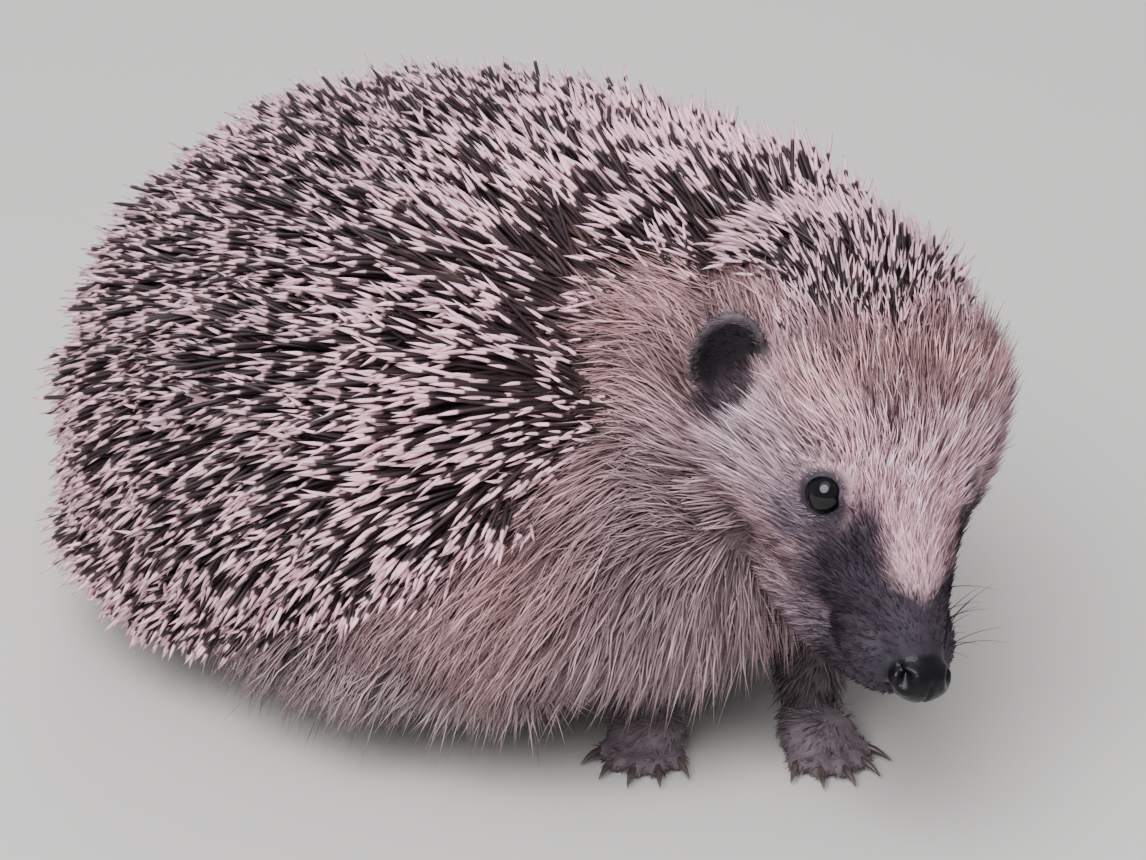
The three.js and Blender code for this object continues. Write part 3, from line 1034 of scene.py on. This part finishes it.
def plant(per_mm2, dice):
    """Roots with normals and map places, at a density given for each triangle."""
    wanted = areas * per_mm2
    count = int(wanted.sum())
    chosen = dice.choice(triangle_count, count, p=wanted / wanted.sum())
    a, b = dice.random(count), dice.random(count)
    over = a + b > 1
    a, b = np.where(over, 1 - a, a), np.where(over, 1 - b, b)
    weights = np.stack([1 - a - b, a, b], axis=-1)
    roots = (spots[corners[chosen]] * weights[..., None]).sum(1)
    normals = unit((skin_normals[corners[chosen]] * weights[..., None]).sum(1))
    places = (skin_uv[corner_loops[chosen]] * weights[..., None]).sum(1)
    return roots, normals, places


# %% [markdown]
# ## From roots to solid strands
# A spine or a lock of hair is a thin closed tube that ends in a point. All the strands of a piece
# share one ring pattern, so their vertices can be laid out as one array and joined into a single
# mesh, which Blender draws far faster than thousands of objects.

# %% Strands


def strand_axes(paths, normals):
    """Two axes across each path, the first of them lying flat against the skin."""
    ahead = np.empty_like(paths)
    ahead[:, 1:-1] = paths[:, 2:] - paths[:, :-2]
    ahead[:, 0] = paths[:, 1] - paths[:, 0]
    ahead[:, -1] = paths[:, -1] - paths[:, -2]
    ahead = unit(ahead)
    across = unit(np.cross(ahead, normals[:, None, :]))
    over = np.cross(across, ahead)
    return across, over


def tube_pattern(rings, round_sides):
    """The faces of one closed tube, as lists of its vertices, and the map place of each corner."""
    faces, places = [], []
    spans = rings - 1
    point = spans * round_sides
    for r in range(spans):
        low, high = r * round_sides, (r + 1) * round_sides
        v0, v1 = r / spans, (r + 1) / spans
        for s in range(round_sides):
            t = (s + 1) % round_sides
            u0, u1, middle = s / round_sides, (s + 1) / round_sides, (s + 0.5) / round_sides
            if r < spans - 1:
                faces.append([low + s, low + t, high + t, high + s])
                places += [[u0, v0], [u1, v0], [u1, v1], [u0, v1]]
            else:
                faces.append([low + s, low + t, point])
                places += [[u0, v0], [u1, v0], [middle, 1]]
    cap = list(range(round_sides))[::-1]
    faces.append(cap)
    for s in cap:
        a = s * 2 * math.pi / round_sides
        places.append([0.5 + 0.4 * math.cos(a), 0.04 + 0.04 * math.sin(a)])
    return faces, np.array(places)


def strand_mesh(name, paths, radii, normals, round_sides, cells, cell_size, fields):
    """One mesh of closed tubes. paths is (strands, rings, 3), and the last ring is the point."""
    count, rings, _ = paths.shape
    across, over = strand_axes(paths, normals)
    turn = np.arange(round_sides) * 2 * np.pi / round_sides
    ring = across[:, :-1, None] * np.cos(turn)[:, None] + over[:, :-1, None] * np.sin(turn)[:, None]
    tube = paths[:, :-1, None] + ring * radii[:, :-1, None, None]
    each = (rings - 1) * round_sides + 1
    vertices = np.empty((count, each, 3))
    vertices[:, :-1] = tube.reshape(count, -1, 3)
    vertices[:, -1] = paths[:, -1]

    faces, corner_uv = tube_pattern(rings, round_sides)
    pattern = np.concatenate(faces)
    sizes = np.array([len(face) for face in faces])
    starts = np.cumsum(sizes) - sizes
    strand = np.arange(count)[:, None]
    loops = (pattern + strand * each).ravel()
    loop_starts = (starts + strand * len(pattern)).ravel()

    mesh = bpy.data.meshes.new(name)
    mesh.vertices.add(count * each)
    mesh.vertices.foreach_set("co", (vertices * mm).astype(np.float32).ravel())
    mesh.loops.add(len(loops))
    mesh.loops.foreach_set("vertex_index", loops.astype(np.int32))
    mesh.polygons.add(len(loop_starts))
    mesh.polygons.foreach_set("loop_start", loop_starts.astype(np.int32))
    mesh.update(calc_edges=True)
    mesh.polygons.foreach_set("use_smooth", np.ones(len(loop_starts), bool))

    inset = 0.06
    corner_uv = inset + corner_uv * (1 - 2 * inset)
    uv = cells[:, None, :] + corner_uv[None] * cell_size
    layer = mesh.uv_layers.new(name="OFBake")
    layer.data.foreach_set("uv", uv.astype(np.float32).ravel())

    for key, values in fields.items():
        full = np.concatenate([np.repeat(values[:, :-1], round_sides, axis=1), values[:, -1:]], axis=1)
        if values.ndim == 3:
            store(mesh, key, "FLOAT_COLOR", full.reshape(-1, 3))
        else:
            store(mesh, key, "FLOAT", full)
    return mesh


# %% [markdown]
# Each strand's colours get a small patch of the map. Two strands never share a patch, so a strand
# whose patch is taken tries others, further and further from its root.

# %% A patch of the map for each strand


def claim_cells(places, cell_size, dice):
    """Gives each strand a free cell of the map at its root, or as near to it as there is one."""
    shape = np.floor(1 / np.asarray(cell_size)).astype(int)
    wanted = np.clip((places / cell_size).astype(int), 0, shape - 1)
    free = np.ones(shape, bool)
    result = np.zeros_like(wanted)
    waiting = np.arange(len(places))
    reach = 0.0
    while len(waiting):
        step = dice.uniform(-reach, reach, (len(waiting), 2)).round().astype(int)
        tried = np.clip(wanted[waiting] + step, 0, shape - 1)
        number = tried[:, 0] * shape[1] + tried[:, 1]
        first = np.zeros(len(waiting), bool)
        first[np.unique(number, return_index=True)[1]] = True
        won = first & free[tried[:, 0], tried[:, 1]]
        result[waiting[won]] = tried[won]
        free[tried[won, 0], tried[won, 1]] = False
        waiting = waiting[~won]
        reach += 0.35
    return result * cell_size


# %% [markdown]
# ## Spines
# A hedgehog's back has thousands of spines, about 20 mm long and a millimetre thick, pale at the
# root, then dark, then pale at the tip. These are made a little shorter and finer than that, and
# closer, which gives the back the fine grain of a small animal. They lean backwards, but each
# muscle pulls its own patch, so they cross each other at all angles. So each spine takes the
# coat's lie, is lifted from the skin, and is then turned by a random amount of its own and one
# that it shares with its neighbours.

# %% Plant the spines
dice = np.random.default_rng(7)
spine_sides = 5
spine_length = 17.5
spine_radius = 0.41
spines_per_mm2 = 0.66


def on_crown(local):
    """1 on top of the head and neck, where spines are thin and close."""
    return soft_step(-62, -40, local[:, 0]) * soft_step(-6, 4, local[:, 2])


def front_of_mantle(local):
    """1 at the front edge of the mantle, where spines are short and mixed with hair."""
    return soft_step(-34, -20, local[:, 0]) * soft_step(0, 8, local[:, 2])


in_mantle = soft_step(-3.5, 0, mantle(middles))
ears_clear = soft_step(1.0, 1.4, ear_reach(middles, 3.0)[0])
middle_local = to_head(middles)
denser = 1 + 0.8 * on_crown(middle_local)
roots, normals, places = plant(spines_per_mm2 * denser * in_mantle * ears_clear + 1e-9, dice)
front = front_of_mantle(to_head(roots))
grows = mantle(roots) > dice.normal(0, 1, len(roots)) * (2.0 + 1.6 * front)
roots, normals, places, front = roots[grows], normals[grows], places[grows], front[grows]
count = len(roots)
print("spines:", count)

# %% Aim the spines


def turn_about(vectors, axis, angles):
    """Turns each vector about its own unit axis."""
    c, s = np.cos(angles)[:, None], np.sin(angles)[:, None]
    dot = (vectors * axis).sum(-1, keepdims=True)
    return vectors * c + np.cross(axis, vectors) * s + axis * dot * (1 - c)


flow = lie(roots, normals)
shared = blotches(roots, 3.6, 3.0) * 0.45 + blotches(roots, 8.0, 8.0) * 0.30
flow = turn_about(flow, normals, shared + dice.normal(0, 0.24, count))
crown = on_crown(to_head(roots))
lift = np.radians(30 - 7 * (1 - soft_step(-2, 10, mantle(roots)))) + dice.normal(0, 0.11, count)
lift += 0.12 * blotches(roots, 5.0, 1.0) - np.radians(12) * crown
lift = np.clip(lift, np.radians(10), np.radians(46))
aim = flow * np.cos(lift)[:, None] + normals * np.sin(lift)[:, None]
print("they stand", round(math.degrees(lift.mean())), "degrees off the skin on average")

# %% Draw each spine's path
near_edge = soft_step(-3, 13, mantle(roots))
length = spine_length * (0.45 + 0.55 * near_edge) * (1 - 0.08 * crown - 0.26 * front)
length = length * np.clip(dice.normal(1, 0.08, count), 0.7, 1.2)
along = np.array([0.0, 0.45, 0.86, 1.0])
shape = np.array([0.75, 1.0, 0.86, 0.0])
bow = dice.normal(0, 0.03, (count, 2))
side_way = np.cross(normals, flow)
paths = (roots - normals * 0.8)[:, None] + aim[:, None] * (length[:, None] * along)[..., None]
arch = (along * (1 - along))[None, :, None] * 4 * length[:, None, None]
paths = paths + arch * (side_way * bow[:, :1] + normals * (bow[:, 1:] + 0.012))[:, None]
thick = spine_radius * np.clip(dice.normal(1, 0.10, count), 0.7, 1.3)
thick = thick * (0.70 + 0.30 * near_edge) * (1 - 0.28 * crown - 0.14 * front)
radii = thick[:, None] * shape
paths[..., 2] = np.maximum(paths[..., 2], 0.6)
# a spine that would pass through an ear is kept short
for k in (1, 2, 3):
    through_ear = ear_reach(paths[:, k], 2.0)[0] < 1.2
    paths[through_ear] = mix(roots[through_ear][:, None], paths[through_ear], 0.3)
print(f"they are {length.mean():.1f} mm long and {2 * thick.mean():.2f} mm thick on average")

# %% [markdown]
# The bands of a spine are read from how far along it a point is. Each spine shifts its bands a
# little, and one in fifty is pale all over, as on the living animal.

# %% Bands and brightness of the spines
band_shift = dice.normal(0, 0.03, count) + 0.045 * crown + 0.02 * front + 0.04 * (1 - near_edge)
low_down = soft_step(60, 24, roots[:, 2])
shoulder = soft_step(nape_x - 60, nape_x - 20, roots[:, 0]) * (1 - crown)
band_shift += 0.075 * soft_step(nape_x - 50, nape_x - 15, roots[:, 0])
band_shift += 0.012 * (soft_step(60, 30, roots[:, 2]) - soft_step(50, 70, roots[:, 2]))
white = (dice.random(count) < 0.02).astype(float)
brightness = dice.normal(0.80, 0.13, count) * (1 - 0.10 * crown * dice.random(count))
brightness += 0.17 * low_down + 0.20 * shoulder
fields = {
    "along": np.clip(np.broadcast_to(along, (count, len(along))) + band_shift[:, None], 0, 1),
    "white": np.repeat(white[:, None], len(along), 1),
    "bright": np.repeat(brightness[:, None], len(along), 1),
}

print(int(white.sum()), "spines are pale all over")

# %% The finish of a spine
horn, nodes, links, shader = new_material("spine_horn", 0.45, 0.28)
# the root's own pale horn, dulled with painted shade, as the roots stand deep among the spines
spine_root_shaded = from_srgb(142, 120, 116)
spine_dark = from_srgb(52, 39, 42)
spine_brown = from_srgb(84, 64, 64)
spine_tip = from_srgb(242, 196, 208)
bands = ramp(nodes, links, read_attribute(nodes, "along").outputs["Fac"], [
    (0.0, spine_root_shaded), (0.24, spine_root_shaded), (0.38, spine_brown), (0.52, spine_dark), (0.79, spine_dark),
    (0.83, spine_brown), (0.855, spine_tip), (1.0, spine_tip)])
pale = nodes.new("ShaderNodeMix")
pale.data_type = "RGBA"
pale.inputs["B"].default_value = (*spine_tip, 1)
links.new(read_attribute(nodes, "white").outputs["Fac"], pale.inputs["Factor"])
links.new(bands, pale.inputs["A"])
shade = multiply(nodes, links, pale.outputs["Result"], read_attribute(nodes, "bright").outputs["Color"])
links.new(shade, shader.inputs["Base Color"])

# %% Mesh the spines


def split_pieces(name, share_count, paths, radii, normals, places, sides_round, cell, fields, finish):
    """Deals the strands out to several pieces, so that none is too large, and meshes them."""
    for k in range(share_count):
        own = slice(k, None, share_count)
        cells = claim_cells(places[own], cell, np.random.default_rng(k))
        own_fields = {key: value[own] for key, value in fields.items()}
        mesh = strand_mesh(f"{name}_{k + 1}", paths[own], radii[own], normals[own],
                           sides_round, cells, cell, own_fields)
        mesh.materials.append(finish)
        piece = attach(new_piece(f"{name}_{k + 1}", mesh), "root")
    triangles = len(mesh.loops) - 2 * len(mesh.polygons)
    print(f"{name}: {len(paths)} strands in {share_count} pieces of about {triangles} triangles")


spine_cell = np.array([0.004, 0.016])
split_pieces("spines", 4, paths, radii, normals, places, spine_sides, spine_cell, fields, horn)

# %% [markdown]
# ## Hair
# The hair is grown in locks: strands that start apart and lean together towards the tip of the
# nearest guide, as coarse hair does when it is a little damp. Long hair gets more rings than
# short hair. Each strand is dark at its root and pale at its tip.

# %% Combing, locks and colours


def comb(roots, normals, flow, length, along, dice):
    """A path for each hair, leaning along its flow, a little lifted, bent and waved."""
    count = len(roots)
    long_share = soft_step(5, 16, length)
    brow = on_face(roots) * soft_step(2, 8, to_head(roots)[:, 2])
    lift = np.radians(17 - 2 * long_share + 3 * brow) + dice.normal(0, 0.09, count)
    lift = np.clip(lift, np.radians(5), np.radians(36))
    aim = flow * np.cos(lift)[:, None] + normals * np.sin(lift)[:, None]
    side_way = np.cross(normals, flow)
    bend = dice.normal(0, 0.12, count)
    wave = 0.05 * np.sin(along * 5 + dice.uniform(0, 6.3, count)[:, None])
    paths = (roots - normals * 0.25)[:, None] + aim[:, None] * (length[:, None] * along)[..., None]
    sideways = (along**2 * bend[:, None] + wave * long_share[:, None]) * length[:, None]
    paths = paths + side_way[:, None] * sideways[..., None]
    paths[..., 2] -= along**2 * (0.15 * long_share * length)[:, None]
    return paths


def gather(paths, roots, length, along, clump, strands_per_lock, dice):
    """Leans each hair towards the guide of its lock, and says which hair that guide is."""
    count = len(roots)
    guides = dice.permutation(count)[: max(8, count // strands_per_lock)]
    tree = KDTree(len(guides))
    for k, i in enumerate(guides):
        tree.insert(roots[i], k)
    tree.balance()
    own = np.array([guides[tree.find(r)[1]] for r in roots])
    offset = (roots - roots[own]) * 0.22
    guide = roots[own][:, None] + (paths[own] - roots[own][:, None]) * (length / length[own])[:, None, None]
    near = np.linalg.norm(roots - roots[own], axis=1) < 5
    pull = clump * along[None, :, None] ** 1.3 * (near * dice.uniform(0.3, 1.0, count))[:, None, None]
    return paths + (guide + offset[:, None] - paths) * pull, own


def hair_colours(roots, length, along, own, dice):
    """Dark at the root and pale at the tip, with dark hairs scattered in and streaks on the brow."""
    count = len(roots)
    lock = dice.normal(1.0, 0.17, count)[own]
    pale = np.clip(dice.normal(1.0, 0.22, count), 0.45, 1.6) * lock
    local = to_head(roots)
    band = forehead_band(local)
    streaks = blotches(local * [0.3, 1, 0.3], 1.4, 5.0) + 0.6 * blotches(local, 4.5, 1.0)
    dark_hair = dice.random(count) < 0.12 + band * (0.42 + 0.9 * streaks)
    pale = np.where(dark_hair, pale * 0.40, pale * (1 + 0.10 * band))
    deep = soft_step(2.5, 7, length)[:, None]
    gradient = np.interp(along, [0, 0.35, 0.85, 1], [0.46, 0.80, 1.15, 1.27]) * deep
    gradient = gradient + np.interp(along, [0, 1], [0.78, 1.12]) * (1 - deep)
    return np.clip(coat_colour(roots)[:, None] * (pale[:, None] * gradient)[..., None], 0, 1)


def grow_hair(per_mm2, dice, rings, radius, clump, strands_per_lock):
    """Paths, radii, normals, map places and colours of hair over the triangles."""
    roots, normals, places = plant(per_mm2 + 1e-12, dice)
    kept = from_eyes(to_head(roots))[0] > eyeball_radius + 0.2
    roots, normals, places = roots[kept], normals[kept], places[kept]
    count = len(roots)
    flow = lie(roots, normals)
    flow = turn_about(flow, normals, dice.normal(0, 0.17, count) + 0.25 * blotches(roots, 4.5, 2.0))
    length = hair_length(roots) * np.clip(dice.normal(1, 0.18, count), 0.5, 1.5)
    along = np.linspace(0, 1, rings)
    paths = comb(roots, normals, flow, length, along, dice)
    paths, own = gather(paths, roots, length, along, clump, strands_per_lock, dice)
    paths[..., 2] = np.maximum(paths[..., 2], 0.4)
    # a hair that would cross an eye is kept short
    for k in range(1, rings):
        crosses = over_eye(paths[:, k])
        paths[crosses] = mix(roots[crosses][:, None], paths[crosses], 0.25)
    thick = radius * np.clip(dice.normal(1, 0.2, count), 0.5, 1.6)
    radii = thick[:, None] * np.interp(along, [0, 0.25, 0.7, 1], [0.75, 1.0, 0.7, 0.0])
    return paths, radii, normals, places, hair_colours(roots, length, along, own, dice)


# %% [markdown]
# Hair grows wherever spines don't, thinner under the belly, closer round the eyes, and not on the
# nose pad. It comes in four kinds by its length, because a long lock needs more rings and fewer
# strands than the plush of the face.

# %% Where hair grows
among_spines = bell(middle_local[:, 0] + 12.5, 7.5) * soft_step(3, 9, middle_local[:, 2])
furry = 1 - soft_step(-1.0, 3.5 + 5 * among_spines, mantle(middles))
furry = np.maximum(furry, soft_step(1.3, 1.0, ear_reach(middles)[0]))
to_pad = np.linalg.norm((middle_local - nose_place) / (nose_radii + 0.5), axis=1)
furry = furry * soft_step(1.0, 1.3, to_pad) * soft_step(0.3, 2.5, middles[:, 2])
underside = soft_step(21, 18, middles[:, 2]) * soft_step(40, 30, np.abs(middles[:, 1]))
furry = furry * (1 - 0.5 * underside * (1 - on_face(middles)))
furry = furry * (1 + 0.9 * soft_step(6.5, 5.0, from_eyes(middle_local)[0]))
hair_here = hair_length(middles)
print("hair covers", round(areas[furry > 0.5].sum() / 100), "cm2 of the skin")

# %% Grow and mesh the hair
hair_finish, nodes, links, shader = new_material("hair", 0.55, 0.14)
links.new(read_attribute(nodes, "tone").outputs["Color"], shader.inputs["Base Color"])
hair_cell = np.array([0.003, 0.006])
# name: (shortest, longest, strands per mm2, rings, radius, clump, strands per lock, pieces)
kinds = {
    "long_hair": (13.0, 99.0, 2.2, 4, 0.19, 0.62, 15, 4),
    "middle_hair": (7.5, 13.0, 3.0, 4, 0.16, 0.48, 10, 3),
    "face_hair": (4.0, 7.5, 4.3, 3, 0.14, 0.42, 10, 3),
    "short_hair": (0.0, 4.0, 5.1, 3, 0.12, 0.20, 7, 3),
}
for seed, (name, (low, high, density, rings, radius, clump, lock, pieces)) in enumerate(kinds.items()):
    here = density * furry * (hair_here >= low) * (hair_here < high)
    paths, radii, normals, places, colours = grow_hair(
        here, np.random.default_rng(11 + seed), rings, radius, clump, lock)
    split_pieces(name, pieces, paths, radii, normals, places, 3, hair_cell, {"tone": colours},
                 hair_finish)

# %% [markdown]
# Whiskers stand on the sides of the muzzle, stiff, dark and longer than the hair around them.

# %% Whiskers
dice = np.random.default_rng(5)
whiskers = 34
f, l, u = middle_local.T
on_lip = bell(f - 16, 4) * bell(u + 12.5, 2.5) * soft_step(2.5, 5, np.abs(l))
roots, normals, places = plant(on_lip * whiskers / (areas * on_lip).sum(), dice)
count = len(roots)
back_and_out = np.stack([np.full(count, -0.75), np.sign(to_head(roots)[:, 1]), np.full(count, -0.25)], -1)
aim = unit(unit(back_and_out) @ head_axes + normals * 0.4 + dice.normal(0, 0.16, (count, 3)))
length = dice.uniform(7, 15, count)
along = np.linspace(0, 1, 6)
paths = roots[:, None] + aim[:, None] * (length[:, None] * along)[..., None]
paths[..., 2] -= along**2 * (0.22 * length)[:, None]
radii = 0.08 * (1 - 0.8 * along) * np.array([1, 1, 1, 1, 1, 0]) * np.ones((count, 1))
tone = np.broadcast_to(mask_dark * 0.5, (count, len(along), 3))
split_pieces("whiskers", 1, paths, radii, normals, places, 3, hair_cell, {"tone": tone},
             hair_finish)

# %% [markdown]
# ## Eyes
# A hedgehog's eye shows no white: it is a dark, wet bead. A plain sphere is the right shape, and
# what sells it is the finish, black and as smooth as water under the studio light.

# %% Eyes
eye_finish, nodes, links, shader = new_material("eye", 0.06, 0.36)
depth = noise(nodes, links, 260, 2.0)
eye_tone = ramp(nodes, links, depth.outputs["Fac"], [
    (0.35, from_srgb(3, 3, 4)), (0.75, from_srgb(9, 7, 8))])
links.new(eye_tone, shader.inputs["Base Color"])

for side in sides:
    ball = bmesh.new()
    made = bmesh.ops.create_uvsphere(ball, u_segments=48, v_segments=24, radius=eyeball_radius * mm)
    bmesh.ops.translate(ball, verts=made["verts"], vec=from_head(eyeballs[side]) * mm)
    mesh = bpy.data.meshes.new(f"eyeball_{side}")
    ball.to_mesh(mesh)
    ball.free()
    mesh.polygons.foreach_set("use_smooth", [True] * len(mesh.polygons))
    mesh.materials.append(eye_finish)
    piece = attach(new_piece(f"eyeball_{side}", mesh), "root")
    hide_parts(f"eye_{side}")

# %% [markdown]
# ## Claws
# Each toe ends in a strong digging claw, curved down and blunt. The solids have coarse ones, so a
# finer set is drawn in the same places, one piece for each foot.

# %% Claws
claw_finish, nodes, links, shader = new_material(
    "claw_horn", 0.35, 0.5, Coat_Weight=0.2, Coat_Roughness=0.2)
grain = noise(nodes, links, 700, 5.0)
claw_tone = ramp(nodes, links, grain.outputs["Fac"], [
    (0.3, from_srgb(52, 43, 42)), (0.7, from_srgb(88, 75, 71))])
links.new(claw_tone, shader.inputs["Base Color"])
add_bump(nodes, links, shader, grain.outputs["Fac"], 0.2, 0.08)
claw_length = 5.9

for name, (heading, length, width, hip) in limbs.items():
    body = bmesh.new()
    for direction in toe_directions(name):
        aim = limb_turn(math.degrees(direction) * 0.6)
        start, bend, end = np.array([[0, 0, 0.5], [claw_length * 0.55, 0, 0.9], [claw_length, 0, -0.7]])
        t = np.linspace(0, 1, 5)[:, None]
        path = start * (1 - t) ** 2 + bend * 2 * t * (1 - t) + end * t**2
        path = (path @ aim + toe_spot(name, direction)) @ limb_turn(heading) + soles[name]
        add_form(ovoid(path, [0.7, 0.68, 0.6, 0.42, 0.25], [0.8, 0.75, 0.65, 0.42, 0.25]), 16)
    mesh = bpy.data.meshes.new(f"claws_{name}")
    body.to_mesh(mesh)
    body.free()
    mesh.polygons.foreach_set("use_smooth", [True] * len(mesh.polygons))
    mesh.materials.append(claw_finish)
    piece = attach(new_piece(f"claws_{name}", mesh), "root")
    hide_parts(*[f"{name}_claw_{i + 1}" for i in range(toes)])

# %% [markdown]
# The skin replaces every solid of flesh. The eyes and claws have already replaced their own.

# %% The skin takes its place
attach(skin, "root")
flesh = ["spiny_back", "flanks_and_belly", "neck", "head", "nose", "tail", "ear_left", "ear_right"]
flesh += [f"{end}{part}_{side}" for end in ("fore", "hind") for part in ("leg", "paw") for side in sides]
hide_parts(*flesh)

# %% [markdown]
# ## The studio
# A pale floor that runs to a far horizon, a large round light high on the camera's side for the
# sparkle in the eye, a wider weak one above it, a third from behind for the edges, and a pale
# world. The camera looks down at the animal from its right front, through a long lens, as a
# crouching visitor would.

# %% Floor, lights and camera
floor_mesh = bpy.data.meshes.new("floor")
ground = bmesh.new()
bmesh.ops.create_grid(ground, x_segments=1, y_segments=1, size=4.0)
ground.to_mesh(floor_mesh)
ground.free()
floor = new_piece("floor", floor_mesh)
floor_finish, nodes, links, shader = new_material("floor", 0.85, 0.2)
shader.inputs["Base Color"].default_value = (0.62, 0.60, 0.57, 1)
floor_mesh.materials.append(floor_finish)

world = bpy.data.worlds.new("studio")
bpy.context.scene.world = world
world.use_nodes = True
world.node_tree.nodes["Background"].inputs["Color"].default_value = (0.90, 0.90, 0.95, 1)
world.node_tree.nodes["Background"].inputs["Strength"].default_value = 0.60


def soft_light(name, place, power, size, colour=(1, 1, 1)):
    light = bpy.data.lights.new(name, "AREA")
    light.shape, light.energy, light.size, light.color = "DISK", power, size, colour
    lamp = bpy.data.objects.new(name, light)
    lamp.location = place
    target = Vector(np.array([20.0, 0, 45]) * mm)
    lamp.rotation_euler = (target - lamp.location).to_track_quat("-Z", "Y").to_euler()
    bpy.context.scene.collection.objects.link(lamp)


soft_light("sky_panel", (0.16, -0.48, 1.08), 4.5, 1.1, (0.93, 0.96, 1.0))
soft_light("window", (0.25, -0.74, 0.88), 18.5, 0.92, (0.97, 0.98, 1.0))
soft_light("rim", (-0.7, 0.8, 0.7), 5.0, 0.6)

view_azimuth, view_elevation, view_distance = math.radians(38.5), math.radians(25), 0.6
aim_point = Vector((trunk_middle + [14.7, 0, 7.0]) * mm)
camera_data = bpy.data.cameras.new("camera")
camera_data.sensor_width = 36
camera_data.lens = 112.9
camera_data.clip_start, camera_data.clip_end = 0.05, 30
camera = bpy.data.objects.new("camera", camera_data)
back = Vector((math.sin(view_azimuth) * math.cos(view_elevation),
               -math.cos(view_azimuth) * math.cos(view_elevation), math.sin(view_elevation)))
camera.location = aim_point + back * view_distance
camera.rotation_euler = back.to_track_quat("Z", "Y").to_euler()
bpy.context.scene.collection.objects.link(camera)
bpy.context.scene.camera = camera
